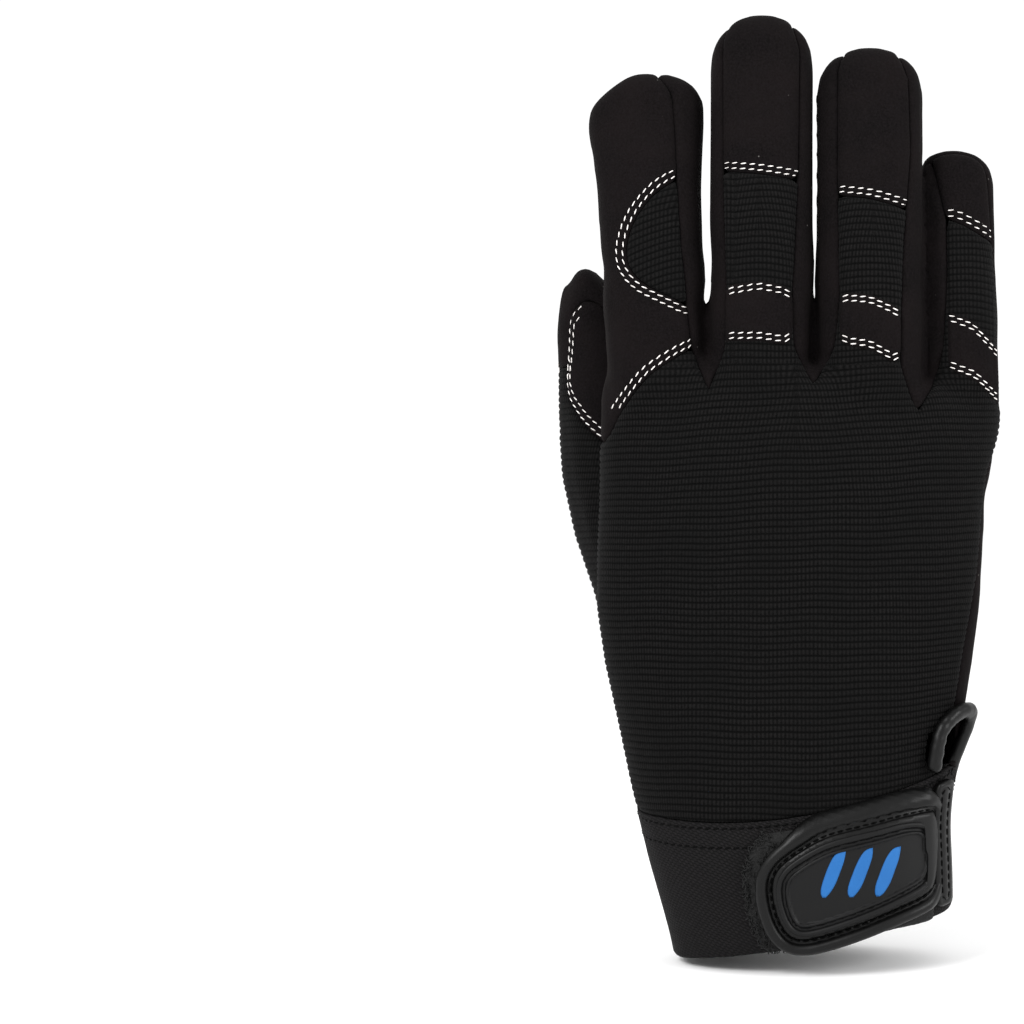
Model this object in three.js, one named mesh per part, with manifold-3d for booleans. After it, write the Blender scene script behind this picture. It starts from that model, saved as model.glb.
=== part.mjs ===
// A right-hand mechanic glove, worn upright: ribbed knit back, suede palm and fingertips,
// side walls between the fingers, padded palm patches, elastic cuff and pull tab.
// Millimetres. +Z runs up along the fingers, -Y faces the back of the hand, -X the thumb.
// The origin is the centre of the cuff's mouth.
import * as THREE from 'three';
import { mergeVertices } from 'three/addons/utils/BufferGeometryUtils.js';
import Module from 'manifold-3d';

const wasm = await Module();
wasm.setup();

// Driving sizes of the hand
const HAND_LENGTH = 138;      // cuff mouth to the knuckles, along Z
const PALM_WIDTH = 104;
const PALM_THICKNESS = 38;
const CUFF_HEIGHT = 32.6;     // at the middle of the back
const THUMB_LENGTH = 122;     // from its root inside the palm to its tip
const THUMB_WIDTH = 28;
const THUMB_THICKNESS = 30;
const FINGER_LENGTH = 99;     // of the middle finger, from the knuckles to the tip
const FINGER_WIDTH = 27.2;
const FINGER_THICKNESS = 25;

// Driving sizes of the pieces
const WALL = 1.6;             // knit and suede
const CUFF_WALL = 1.9;
const GAP = 0.3;              // clearance between neighbouring pieces
const STRIP_THICKNESS = 1;
const PAD_THICKNESS = 2.2;
const LOOP_PAD_THICKNESS = 1;
const TAB_THICKNESS = 1.8;
const TAB_RIM_RISE = 1.3;
const TAB_RIM_WIDTH = 2.6;
const BADGE_THICKNESS = 2;
const BADGE_MARGIN = 2.4;     // between the tab's rim and the badge
const ANCHOR_THICKNESS = 1.4;
const ANCHOR_WIDTH = 4.6;
const PIPING_RADIUS = 1.5;

// The four fingers. long, wide and deep are shares of the middle finger's length, width and
// thickness. side and set place the root, as shares of the palm's width and thickness.
// lean is the tip's sideways shift and flare its extra width, as shares of the finger's width.
const FINGER_TABLE = [
  { name: 'index', long: 0.843, wide: 0.99, deep: 0.96, side: -0.385, set: -0.01, lean: -0.175, flare: 0.35 },
  { name: 'middle', long: 1, wide: 1, deep: 1, side: -0.133, set: -0.04, lean: 0.01, flare: 0 },
  { name: 'ring', long: 0.914, wide: 1.029, deep: 1, side: 0.137, set: -0.02, lean: 0.02, flare: 0 },
  { name: 'little', long: 0.646, wide: 0.794, deep: 0.88, side: 0.366, set: 0.2, lean: -0.05, flare: 0 },
];
const FINGERS = FINGER_TABLE.map((row) => ({
  ...row,
  length: row.long * FINGER_LENGTH,
  width: row.wide * FINGER_WIDTH,
  thickness: row.deep * FINGER_THICKNESS,
}));

// Sections of the hand from the cuff's mouth to the knuckles.
// up is a share of HAND_LENGTH, across and wide of PALM_WIDTH, deep of PALM_THICKNESS.
// tilt is the section's slope from the thumb's side to the little finger's, and drop how far
// the little finger's side lies towards the palm, as a share of PALM_THICKNESS.
const HAND_SECTIONS = [
  { up: 0, across: 0, wide: 0.69, deep: 1.18, tilt: 0.178, drop: 0, square: 2.2 },
  { up: 0.09, across: -0.017, wide: 0.72, deep: 1.21, tilt: 0.17, drop: 0, square: 2.2 },
  { up: 0.195, across: -0.041, wide: 0.758, deep: 1.21, tilt: 0.13, drop: 0, square: 2.2 },
  { up: 0.34, across: -0.053, wide: 0.835, deep: 1.13, tilt: 0.06, drop: 0, square: 2.3 },
  { up: 0.45, across: -0.059, wide: 0.888, deep: 1.08, tilt: 0.02, drop: 0, square: 2.4 },
  { up: 0.56, across: -0.065, wide: 0.944, deep: 1.05, tilt: 0, drop: 0.02, square: 2.5 },
  { up: 0.675, across: -0.06, wide: 0.965, deep: 1.03, tilt: 0, drop: 0.05, square: 2.6 },
  { up: 0.79, across: -0.053, wide: 0.965, deep: 1, tilt: 0, drop: 0.1, square: 2.6 },
  { up: 0.9, across: -0.04, wide: 0.99, deep: 0.94, tilt: -0.03, drop: 0.15, square: 2.6 },
  { up: 1, across: -0.027, wide: 1.005, deep: 0.8, tilt: -0.07, drop: 0.2, square: 2.6 },
];
const HAND_DOME = 0.065;      // height of the rounded top, as a share of HAND_LENGTH

// Sections shared by the fingers. along and curl are shares of the length from the root,
// wide and deep of the width and thickness.
const FINGER_SECTIONS = [
  { along: -0.14, curl: 0.02, wide: 1, deep: 1.14 },
  { along: 0.04, curl: 0, wide: 1, deep: 1.18 },
  { along: 0.22, curl: -0.004, wide: 0.985, deep: 1.08 },
  { along: 0.45, curl: 0.012, wide: 0.99, deep: 1 },
  { along: 0.66, curl: 0.05, wide: 0.99, deep: 0.97 },
  { along: 0.87, curl: 0.105, wide: 1, deep: 0.9 },
];
const FINGER_DOME = 0.13;

// Sections of the thumb. up is a share of THUMB_LENGTH above THUMB_ROOT, side of PALM_WIDTH,
// front of PALM_THICKNESS, wide and deep of the thumb's width and thickness.
const THUMB_ROOT = 0.36;      // height of the thumb's root, as a share of HAND_LENGTH
const THUMB_SECTIONS = [
  { up: 0, side: -0.36, front: 0.1, wide: 0.8, deep: 0.85 },
  { up: 0.17, side: -0.385, front: 0.28, wide: 1, deep: 1.04 },
  { up: 0.3, side: -0.41, front: 0.45, wide: 1.1, deep: 1.12 },
  { up: 0.43, side: -0.463, front: 0.6, wide: 1.13, deep: 1.1 },
  { up: 0.56, side: -0.51, front: 0.7, wide: 1.05, deep: 1 },
  { up: 0.69, side: -0.539, front: 0.77, wide: 0.92, deep: 0.9 },
  { up: 0.82, side: -0.557, front: 0.81, wide: 0.8, deep: 0.84 },
  { up: 0.92, side: -0.571, front: 0.82, wide: 0.68, deep: 0.74 },
];
const THUMB_DOME = 0.08;
const THUMB_TURN = 0.35;      // radians about Z, so that its flat side faces the index finger

// Sides and steps of the outer surfaces, and of the cavity inside them
const OUTSIDE = { hand: 28, handSteps: 10, finger: 12, fingerSteps: 5, thumb: 12, thumbSteps: 7 };
const INSIDE = { hand: 18, handSteps: 8, finger: 8, fingerSteps: 5, thumb: 8, thumbSteps: 6 };
const DOME_STEPS = [0.45, 0.78, 0.95];
const TIP_RADIUS = 0.17;      // of the smallest ring, at a dome's top

const COLOURS = { knit: 0x191919, suede: 0x171616, cuff: 0x212020, moulded: 0x1c1c1d, rubber: 0x0e0f11 };

// A row between the rows of a table, on a smooth curve through them.
function between(rows, share) {
  const at = share * (rows.length - 1);
  const first = Math.min(Math.floor(at), rows.length - 2);
  const f = at - first;
  const pick = (k) => rows[Math.max(0, Math.min(rows.length - 1, k))];
  const row = {};
  for (const name of Object.keys(rows[0])) {
    const [a, b, c, d] = [-1, 0, 1, 2].map((k) => pick(first + k)[name]);
    const bend = 2 * a - 5 * b + 4 * c - d + f * (3 * (b - c) + d - a);
    row[name] = b + 0.5 * f * (c - a + f * bend);
  }
  return row;
}

function manifoldOf(geometry) {
  geometry.deleteAttribute('normal');
  geometry.deleteAttribute('uv');
  const merged = mergeVertices(geometry, 1e-4);
  return new wasm.Manifold(new wasm.Mesh({
    numProp: 3,
    vertProperties: new Float32Array(merged.attributes.position.array),
    triVerts: new Uint32Array(merged.index.array),
  }));
}

// A closed skin over rings of points that run counterclockwise seen from above, lowest ring first.
function skinOver(rings) {
  const sides = rings[0].length;
  const points = rings.flat();
  const middle = (ring) => ring.reduce((sum, p) => sum.add(p), new THREE.Vector3()).divideScalar(sides);
  const faces = [];
  for (let level = 0; level < rings.length - 1; level++) {
    for (let i = 0; i < sides; i++) {
      const a = level * sides + i;
      const b = level * sides + (i + 1) % sides;
      faces.push(a, b, b + sides, a, b + sides, a + sides);
    }
  }
  const bottom = points.push(middle(rings[0])) - 1;
  const top = points.push(middle(rings[rings.length - 1])) - 1;
  const last = (rings.length - 1) * sides;
  for (let i = 0; i < sides; i++) {
    const next = (i + 1) % sides;
    faces.push(bottom, next, i, top, last + i, last + next);
  }
  const geometry = new THREE.BufferGeometry().setFromPoints(points);
  geometry.setIndex(faces);
  return manifoldOf(geometry);
}

// One ring of a tube, grown outward by grow.
function ringOf(row, grow, sides) {
  const ring = [];
  for (let i = 0; i < sides; i++) {
    const angle = (2 * Math.PI * i) / sides;
    const power = 2 / row.square;
    const x = (row.halfWidth + grow) * Math.sign(Math.cos(angle)) * Math.abs(Math.cos(angle)) ** power;
    const y = (row.halfDepth + grow) * Math.sign(Math.sin(angle)) * Math.abs(Math.sin(angle)) ** power;
    const turned = new THREE.Vector3(x, y, 0).applyAxisAngle(new THREE.Vector3(0, 0, 1), row.turn);
    const fall = row.drop * Math.max(0, turned.x / row.halfWidth) ** 2;
    ring.push(new THREE.Vector3(row.x + turned.x, row.y + turned.y + fall, row.z + row.tilt * turned.x));
  }
  return ring;
}

// A tube through rows of sections, with a rounded top.
function tube(rows, dome, roundness, grow, sides, steps) {
  const rings = [];
  for (let k = 0; k <= steps; k++) {
    rings.push(ringOf(between(rows, k / steps), grow, sides));
  }
  const end = rows[rows.length - 1];
  for (const s of DOME_STEPS) {
    const shrink = (1 - s ** roundness) ** (1 / roundness);
    const halfWidth = (end.halfWidth + grow) * shrink;
    const halfDepth = (end.halfDepth + grow) * shrink;
    rings.push(ringOf({ ...end, halfWidth, halfDepth, z: end.z + (dome + grow) * s }, 0, sides));
  }
  const tip = { halfWidth: TIP_RADIUS, halfDepth: TIP_RADIUS, z: end.z + dome + grow };
  rings.push(ringOf({ ...end, ...tip }, 0, sides));
  return skinOver(rings);
}

const handRows = HAND_SECTIONS.map((row) => ({
  x: row.across * PALM_WIDTH,
  y: 0,
  z: row.up * HAND_LENGTH,
  halfWidth: row.wide * PALM_WIDTH / 2,
  halfDepth: row.deep * PALM_THICKNESS / 2,
  tilt: row.tilt,
  drop: row.drop * PALM_THICKNESS,
  square: row.square,
  turn: 0,
}));

function fingerRows(finger) {
  return FINGER_SECTIONS.map((row) => ({
    x: finger.side * PALM_WIDTH + finger.lean * finger.width * Math.max(row.along, 0),
    y: finger.set * PALM_THICKNESS + row.curl * finger.length,
    z: HAND_LENGTH + row.along * finger.length,
    halfWidth: finger.width / 2 * (row.wide + finger.flare * Math.max(row.along, 0) ** 6),
    halfDepth: finger.thickness / 2 * row.deep,
    tilt: 0,
    drop: 0,
    square: 2.4,
    turn: 0,
  }));
}

const thumbRows = THUMB_SECTIONS.map((row) => ({
  x: row.side * PALM_WIDTH,
  y: row.front * PALM_THICKNESS,
  z: THUMB_ROOT * HAND_LENGTH + row.up * THUMB_LENGTH,
  halfWidth: row.wide * THUMB_WIDTH / 2,
  halfDepth: row.deep * THUMB_THICKNESS / 2,
  tilt: 0,
  drop: 0,
  square: 2.2,
  turn: THUMB_TURN,
}));

const thumbTube = (grow, mesh = OUTSIDE) => (
  tube(thumbRows, THUMB_DOME * THUMB_LENGTH, 2.2, grow, mesh.thumb, mesh.thumbSteps)
);

// The hand without its fingers, grown by grow. mouthDrop lowers the mouth, to cut it open.
function handTube(grow, mouthDrop = 0, mesh = OUTSIDE) {
  const rows = handRows.map((row, k) => (k === 0 ? { ...row, z: row.z - mouthDrop } : row));
  return tube(rows, HAND_DOME * HAND_LENGTH, 2.5, grow, mesh.hand, mesh.handSteps);
}

// The hand and its four fingers.
function handForm(grow, mouthDrop = 0, mesh = OUTSIDE) {
  let whole = handTube(grow, mouthDrop, mesh);
  for (const finger of FINGERS) {
    const roundness = finger.flare > 0 ? 2.6 : 2.1;
    const dome = FINGER_DOME * finger.length;
    whole = whole.add(tube(fingerRows(finger), dome, roundness, grow, mesh.finger, mesh.fingerSteps));
  }
  return whole;
}

// A prism along Y over an outline of [x, z] points.
function prism(outline, fromY, toY) {
  const shape = new THREE.Shape(outline.map(([x, z]) => new THREE.Vector2(x, z)));
  const geometry = new THREE.ExtrudeGeometry(shape, { depth: toY - fromY, bevelEnabled: false });
  geometry.rotateX(Math.PI / 2);
  geometry.translate(0, toY, 0);
  return manifoldOf(geometry);
}

// An outline smoothed through its points.
function smoothed(points, count) {
  const corners = points.map(([x, z]) => new THREE.Vector3(x, 0, z));
  const curve = new THREE.CatmullRomCurve3(corners, true, 'centripetal');
  return curve.getPoints(count).slice(0, -1).map((p) => [p.x, p.z]);
}

// The outline moved outward by distance, or inward where distance is negative.
function offset(outline, distance) {
  const area = outline.reduce((sum, [x, z], i) => {
    const [nx, nz] = outline[(i + 1) % outline.length];
    return sum + x * nz - nx * z;
  }, 0);
  const side = Math.sign(area);
  return outline.map(([x, z], i) => {
    const [ax, az] = outline[(i + outline.length - 1) % outline.length];
    const [bx, bz] = outline[(i + 1) % outline.length];
    const along = new THREE.Vector2(x - ax, z - az).normalize();
    const onward = new THREE.Vector2(bx - x, bz - z).normalize();
    const mean = along.clone().add(onward).normalize();
    const reach = distance / Math.max(mean.dot(along), 0.5);
    return [x + side * mean.y * reach, z - side * mean.x * reach];
  });
}

const HUGE = 400;
const SEAM_STEPS = 10;
const SEAM_COLUMNS = [-1, -0.55, -0.52, -0.49, -0.46, 1];  // shares of PALM_WIDTH
const EDGE_STEPS = 12;
const EDGE_ROWS = [-1, -0.2, 0, 0.2, 1];                   // shares of PALM_THICKNESS

// Everything behind the surface y = depthAt(x, z), on the palm's side.
function palmward(depthAt) {
  const low = -HAND_LENGTH / 4;
  const high = HAND_LENGTH * 2;
  const rings = [];
  for (let j = 0; j <= SEAM_STEPS; j++) {
    const z = low + (high - low) * j / SEAM_STEPS;
    const ring = SEAM_COLUMNS.map((share) => {
      const x = share * PALM_WIDTH;
      return new THREE.Vector3(x, depthAt(x, z), z);
    });
    ring.push(new THREE.Vector3(PALM_WIDTH, HUGE, z));
    ring.push(new THREE.Vector3(-PALM_WIDTH, HUGE, z));
    rings.push(ring);
  }
  return skinOver(rings);
}

// The depth of the hand's or a finger's seam between its back and its front.
const MIDDLE = FINGERS[1];
const SEAM_SET = 0.13;        // from the finger's centre towards the palm, as a share of PALM_THICKNESS
const THUMB_TOP = THUMB_ROOT * HAND_LENGTH + THUMB_LENGTH;

function rowAtHeight(rows, z) {
  let low = 0;
  let high = 1;
  for (let k = 0; k < 24; k++) {
    const share = (low + high) / 2;
    if (between(rows, share).z < z) {
      low = share;
    } else {
      high = share;
    }
  }
  return between(rows, low);
}

function seamDepth(x, z) {
  const fingers = rowAtHeight(fingerRows(MIDDLE), z).y + (SEAM_SET - MIDDLE.set) * PALM_THICKNESS;
  const sideways = THREE.MathUtils.smoothstep(-x, 0.46 * PALM_WIDTH, 0.55 * PALM_WIDTH);
  const below = 1 - THREE.MathUtils.smoothstep(z, THUMB_TOP, 1.05 * THUMB_TOP);
  return THREE.MathUtils.lerp(fingers, rowAtHeight(thumbRows, z).y, sideways * below);
}

// The height of the cuff's top edge: level on the palm, bowed and rising on the back.
const CUFF_RISE = 0.183;
const CUFF_BOW = 0.335;       // of the rise's square term, over PALM_WIDTH
function cuffEdge(x, y) {
  const back = CUFF_HEIGHT + CUFF_RISE * x + CUFF_BOW * x * x / PALM_WIDTH;
  const front = CUFF_HEIGHT;
  const turn = 0.2 * PALM_THICKNESS;
  return THREE.MathUtils.lerp(back, front, THREE.MathUtils.smoothstep(y, -turn, turn));
}

// Everything below the cuff's top edge, raised by rise.
function belowCuffEdge(rise) {
  const rings = [];
  for (const share of EDGE_ROWS) {
    const y = share * PALM_THICKNESS;
    const ring = [];
    for (let i = 0; i <= EDGE_STEPS; i++) {
      const x = PALM_WIDTH / 2 * (1 - 2 * i / EDGE_STEPS);
      ring.push(new THREE.Vector3(x, y, cuffEdge(x, y) + rise));
    }
    ring.push(new THREE.Vector3(-PALM_WIDTH / 2, y, -HUGE));
    ring.push(new THREE.Vector3(PALM_WIDTH / 2, y, -HUGE));
    rings.push(ring.reverse());
  }
  return skinOver(rings);
}

const largest = (solid) => solid.decompose().sort((a, b) => b.volume() - a.volume())[0];

// Outlines. A finger's points are along, a share of its length from the root, and across,
// a share of its half width from its middle. The hand's are shares of PALM_WIDTH and HAND_LENGTH.
function onFinger(finger, { along, across }) {
  const z = HAND_LENGTH + along * finger.length;
  const row = rowAtHeight(fingerRows(finger), Math.min(z, HAND_LENGTH + 0.86 * finger.length));
  return [row.x + across * row.halfWidth, z];
}
const onHand = ({ x, z }) => [x * PALM_WIDTH, z * HAND_LENGTH];

const FOURCHETTES = [
  {
    name: 'index_middle_fourchette', left: 0, right: 1, foot: 1.01,
    leftSeam: [[1, 0.2], [0.93, 0.48], [0.77, 0.56], [0.45, 0.63], [0.17, 0.72]],
    rightSeam: [[0.13, -0.7], [0.27, -0.69], [0.6, -0.77], [0.93, -0.79], [0.99, -0.55]],
  },
  {
    name: 'middle_ring_fourchette', left: 1, right: 2, foot: 1.025,
    leftSeam: [[0.98, 0.6], [0.9, 0.77], [0.6, 0.75], [0.27, 0.63], [0.13, 0.66]],
    rightSeam: [[0.14, -0.7], [0.27, -0.62], [0.65, -0.66], [0.93, -0.64], [0.985, -0.5]],
  },
  {
    name: 'ring_little_fourchette', left: 2, right: 3, foot: 0.97,
    leftSeam: [[0.98, 0.55], [0.9, 0.74], [0.7, 0.78], [0.45, 0.64], [0.1, 0.56]],
    rightSeam: [[0.05, -0.7], [0.2, -0.45], [0.5, -0.3], [0.72, -0.28], [0.88, -0.5], [0.99, -0.7]],
  },
];

function fourchetteOutline({ left, right, foot, leftSeam, rightSeam }) {
  const [a, b] = [FINGERS[left], FINGERS[right]];
  const down = leftSeam.map(([along, across]) => onFinger(a, { along, across }));
  const up = rightSeam.map(([along, across]) => onFinger(b, { along, across }));
  const sole = [(down[down.length - 1][0] + up[0][0]) / 2, foot * HAND_LENGTH];
  const above = HAND_LENGTH + 1.3 * Math.max(a.length, b.length);
  return [...down, sole, ...up, [up[up.length - 1][0], above], [down[0][0], above]];
}

// The lower edges of the fingertip caps: heights at the left, the middle and the right.
const FINGERTIPS = [
  { finger: 1, left: 0.592, middle: 0.579, right: 0.556 },
  { finger: 2, left: 0.583, middle: 0.564, right: 0.512 },
  { finger: 3, left: 0.744, middle: 0.719, right: 0.62 },
];

// The strips over the knuckles: heights of the top and the bottom edge, and how far they reach across.
const KNUCKLE_STRIPS = [
  { finger: 1, top: [0.285, 0.298, 0.282], bottom: [0.14, 0.14, 0.128], from: -0.66, to: 0.6 },
  { finger: 2, top: [0.296, 0.288, 0.25], bottom: [0.143, 0.13, 0.08], from: -0.58, to: 0.54 },
  { finger: 3, top: [0.35, 0.31, 0.2], bottom: [0.11, 0.07, -0.03], from: -0.3, to: 0.93 },
];

const INDEX_WINDOW = [
  [0.667, 0.53], [0.636, 0.22], [0.6, 0], [0.56, -0.2], [0.51, -0.36], [0.46, -0.45], [0.415, -0.46],
  [0.374, -0.32], [0.346, -0.12], [0.32, 0.2], [0.287, 0.62], [0.3, 0.95], [0.65, 0.95],
];

// The knit back: its edge round the thumb's web patch, under the index finger's suede,
// and along the suede strip on the little finger's side.
const KNIT_BACK = [
  [-0.9, -0.3], [-0.9, 1.065], [-0.638, 1.065], [-0.641, 1.03], [-0.628, 0.995], [-0.6, 0.962],
  [-0.565, 0.936], [-0.527, 0.914], [-0.505, 0.932], [-0.49, 0.958], [-0.467, 0.982], [-0.433, 1.014],
  [-0.405, 1.038], [-0.367, 1.058], [-0.33, 1.075], [-0.288, 1.092], [-0.26, 1.092], [-0.26, 2],
  [0.6, 2], [0.6, 0.935], [0.46, 0.923], [0.433, 0.86], [0.417, 0.77], [0.405, 0.674], [0.375, 0.558],
  [0.347, 0.43], [0.33, 0.33], [0.31, 0.14], [0.3, -0.3],
];
// Where the knit comes round the thumb's side on to the palm.
const KNIT_FRONT = [
  [-0.9, -0.3], [-0.9, 0.942], [-0.628, 0.942], [-0.58, 0.8], [-0.505, 0.65], [-0.435, 0.59], [-0.385, 0.5],
  [-0.33, 0.384], [-0.26, 0.2], [-0.26, -0.3],
];
const WEB_PATCH = [
  [-0.598, 1.193], [-0.624, 1.181], [-0.631, 1.155], [-0.631, 1.117], [-0.636, 1.062], [-0.638, 1.034],
  [-0.627, 0.996], [-0.599, 0.963], [-0.564, 0.937], [-0.52, 0.91], [-0.4, 0.9], [-0.4, 1.2],
];
const THUMB_CAP = [
  [-0.9, 0.935], [-0.625, 0.938], [-0.52, 0.965], [-0.32, 1.04], [-0.3, 1.5], [-0.9, 1.5],
];

// The padded patches on the palm.
const KNUCKLE_PAD = [
  [-0.437, 0.875], [-0.404, 0.96], [-0.325, 1.034], [-0.21, 1.113], [-0.144, 1.185], [-0.106, 1.185],
  [-0.07, 1.12], [-0.03, 1.07], [0.01, 1.06], [0.06, 1.095], [0.105, 1.152], [0.14, 1.165], [0.173, 1.14],
  [0.2, 1.06], [0.232, 1.01], [0.27, 0.997], [0.303, 1.012], [0.323, 1.05], [0.343, 1.13], [0.366, 1.19],
  [0.392, 1.185], [0.42, 1.12], [0.448, 1.01], [0.45, 0.955], [0.21, 0.926], [0.055, 0.91], [-0.13, 0.878],
  [-0.265, 0.845], [-0.4, 0.808], [-0.436, 0.825],
];
const HEEL_PAD = [
  [-0.121, 0.836], [-0.085, 0.857], [0.01, 0.873], [0.146, 0.876], [0.282, 0.865], [0.39, 0.838],
  [0.413, 0.81], [0.415, 0.72], [0.395, 0.62], [0.362, 0.464], [0.31, 0.325], [0.265, 0.285],
  [0.18, 0.275], [0.12, 0.285], [0.09, 0.33], [0.075, 0.44], [0.027, 0.568], [-0.033, 0.683],
  [-0.1, 0.78],
];
const THUMB_BASE_PAD = [
  [-0.4, 0.754], [-0.333, 0.78], [-0.24, 0.788], [-0.165, 0.775], [-0.128, 0.745], [-0.085, 0.64],
  [-0.045, 0.54], [-0.008, 0.412], [0, 0.335], [-0.03, 0.28], [-0.08, 0.25], [-0.15, 0.25],
  [-0.205, 0.29], [-0.255, 0.4], [-0.31, 0.475], [-0.37, 0.55], [-0.41, 0.64],
];

// The pull tab on the cuff, as shares of PALM_WIDTH and of CUFF_HEIGHT.
const TAB = [
  [-0.145, 0.5], [-0.125, 0.67], [-0.079, 0.79], [-0.004, 0.93], [0.07, 0.99], [0.143, 1.04],
  [0.287, 1.14], [0.287, 0.36], [0.205, 0.17], [0.084, 0.02], [-0.028, -0.08], [-0.079, -0.05],
  [-0.114, 0.08], [-0.136, 0.28],
];
const onCuff = ([x, z]) => [x * PALM_WIDTH, z * CUFF_HEIGHT];
const LOOP_PAD_MARGIN = 2.8;  // how far the fastening pad shows round the tab's free end

// The wrist vent, as turns in degrees from the middle of the back and heights over the cuff,
// as shares of HAND_LENGTH.
const VENT_RISES = [
  [51, 0.054], [51, 0.094], [52, 0.134], [59, 0.164], [70, 0.174], [80, 0.164], [86, 0.134],
  [86, 0.094], [85, 0.054],
];
const VENT = VENT_RISES.map(([turn, rise]) => [turn, CUFF_HEIGHT / HAND_LENGTH + rise]);

// The binding over the tab's root: its turn in degrees, and its ends as shares of CUFF_HEIGHT.
const ANCHOR = { from: 63, low: 0.17, high: 1.12 };

function onHandSurface(turn, up, grow) {
  const row = between(handRows, up > 0 ? shareAtHeight(up) : 0);
  const angle = (turn - 90) * Math.PI / 180;
  const power = 2 / row.square;
  const x = (row.halfWidth + grow) * Math.sign(Math.cos(angle)) * Math.abs(Math.cos(angle)) ** power;
  const y = (row.halfDepth + grow) * Math.sign(Math.sin(angle)) * Math.abs(Math.sin(angle)) ** power;
  return new THREE.Vector3(row.x + x, y, row.z + row.tilt * x);
}

function shareAtHeight(up) {
  let low = 0;
  let high = 1;
  for (let k = 0; k < 24; k++) {
    const share = (low + high) / 2;
    if (between(handRows, share).z < up * HAND_LENGTH) {
      low = share;
    } else {
      high = share;
    }
  }
  return low;
}

// A plug through the wall over an outline of [turn, up] on the hand, counterclockwise from outside.
function plug(outline) {
  const reach = PALM_THICKNESS / 3;
  const ring = (grow) => outline.map(([turn, up]) => onHandSurface(turn, up, grow));
  return skinOver([ring(-reach), ring(reach)]);
}

const pieces = [];
function addPiece(name, solid, colour, roughness) {
  pieces.push({ name, solid: largest(solid), colour, roughness });
}

const palm = palmward(seamDepth);
const palmAndGap = palmward((x, z) => seamDepth(x, z) - GAP);
const behindGap = palmward((x, z) => seamDepth(x, z) + GAP);
const through = (outline) => prism(outline, -HUGE, HUGE);

const MOUTH_DROP = 0.06 * HAND_LENGTH;
const outer = handForm(0).add(thumbTube(0));
const cavity = handForm(-WALL, MOUTH_DROP, INSIDE).add(thumbTube(-WALL, INSIDE));
let rest = outer.subtract(cavity).subtract(belowCuffEdge(GAP)).subtract(plug([...VENT].reverse()));

// Takes what lies inside region out of the shell, and clears a gap round it.
function take(region, cleared) {
  const piece = rest.intersect(region);
  rest = rest.subtract(cleared);
  return piece;
}
const takeBack = (outline) => take(
  through(outline).subtract(palmAndGap),
  through(offset(outline, GAP)).subtract(palm),
);

for (const fourchette of FOURCHETTES) {
  const outline = fourchetteOutline(fourchette);
  addPiece(fourchette.name, takeBack(outline), COLOURS.suede, 0.85);
}
for (const { finger, left, middle, right } of FINGERTIPS) {
  const owner = FINGERS[finger];
  const at = (along, across) => onFinger(owner, { along, across });
  const outline = [at(left, -1), at(middle, 0), at(right, 1.2), at(1.3, 1.2), at(1.3, -1)];
  addPiece(`${owner.name}_fingertip`, takeBack(outline), COLOURS.suede, 0.85);
}
const windowOutline = INDEX_WINDOW.map(([along, across]) => onFinger(FINGERS[0], { along, across }));
addPiece('index_knit_window', takeBack(windowOutline), COLOURS.knit, 0.95);

const thumbZone = thumbTube(2 * GAP);
const thumbZoneAndGap = thumbTube(3 * GAP);
const handOutline = (points) => points.map(([x, z]) => onHand({ x, z }));
const webOutline = handOutline(WEB_PATCH);
addPiece('thumb_web_patch', take(
  through(webOutline).intersect(thumbZone).subtract(palmAndGap),
  through(offset(webOutline, GAP)).intersect(thumbZoneAndGap).subtract(palm),
), COLOURS.suede, 0.85);

const knitBack = handOutline(KNIT_BACK);
const knitFront = handOutline(KNIT_FRONT);
addPiece('back_panel', take(
  through(knitBack).subtract(palm).add(through(knitFront).intersect(palmAndGap)),
  through(offset(knitBack, GAP)).subtract(behindGap)
    .add(through(offset(knitFront, GAP)).intersect(palmAndGap)),
), COLOURS.knit, 0.95);

const capOutline = handOutline(THUMB_CAP);
addPiece('thumb_cap', take(
  through(capOutline).intersect(thumbZone),
  through(offset(capOutline, GAP)).intersect(thumbZoneAndGap),
), COLOURS.suede, 0.85);
addPiece('thumb_front', take(thumbZone, thumbZoneAndGap), COLOURS.suede, 0.85);
addPiece('palm_panel', rest, COLOURS.suede, 0.85);

// Layers that lie over the base pieces, a gap above them.
const overBase = handForm(GAP);
const stripLayer = handForm(GAP + STRIP_THICKNESS).subtract(overBase);
for (const { finger, top, bottom, from, to } of KNUCKLE_STRIPS) {
  const owner = FINGERS[finger];
  const middle = (from + to) / 2;
  const place = ([along, across]) => onFinger(owner, { along, across });
  const edge = ([a, b, c]) => [[a, from], [b, middle], [c, to]].map(place);
  const outline = [...edge(top), ...edge(bottom).reverse()];
  const solid = stripLayer.intersect(prism(outline, -HUGE, owner.set * PALM_THICKNESS));
  addPiece(`${owner.name}_knuckle_strip`, solid, COLOURS.suede, 0.85);
}
const padLayer = handForm(GAP + PAD_THICKNESS).subtract(overBase).subtract(thumbTube(GAP));
for (const [name, points, count] of [
  ['knuckle_pad', KNUCKLE_PAD, 34], ['heel_pad', HEEL_PAD, 22], ['thumb_base_pad', THUMB_BASE_PAD, 20],
]) {
  const outline = smoothed(handOutline(points), count);
  addPiece(name, padLayer.intersect(prism(outline, 0, HUGE)), COLOURS.suede, 0.85);
}

// The cuff and what is fastened to it.
const cuffProud = CUFF_WALL - WALL;
const cuffZone = belowCuffEdge(0);
const cuffInside = handTube(-WALL, MOUTH_DROP, INSIDE);
addPiece('cuff_band', handTube(cuffProud).subtract(cuffInside).intersect(cuffZone), COLOURS.cuff, 0.9);

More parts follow.
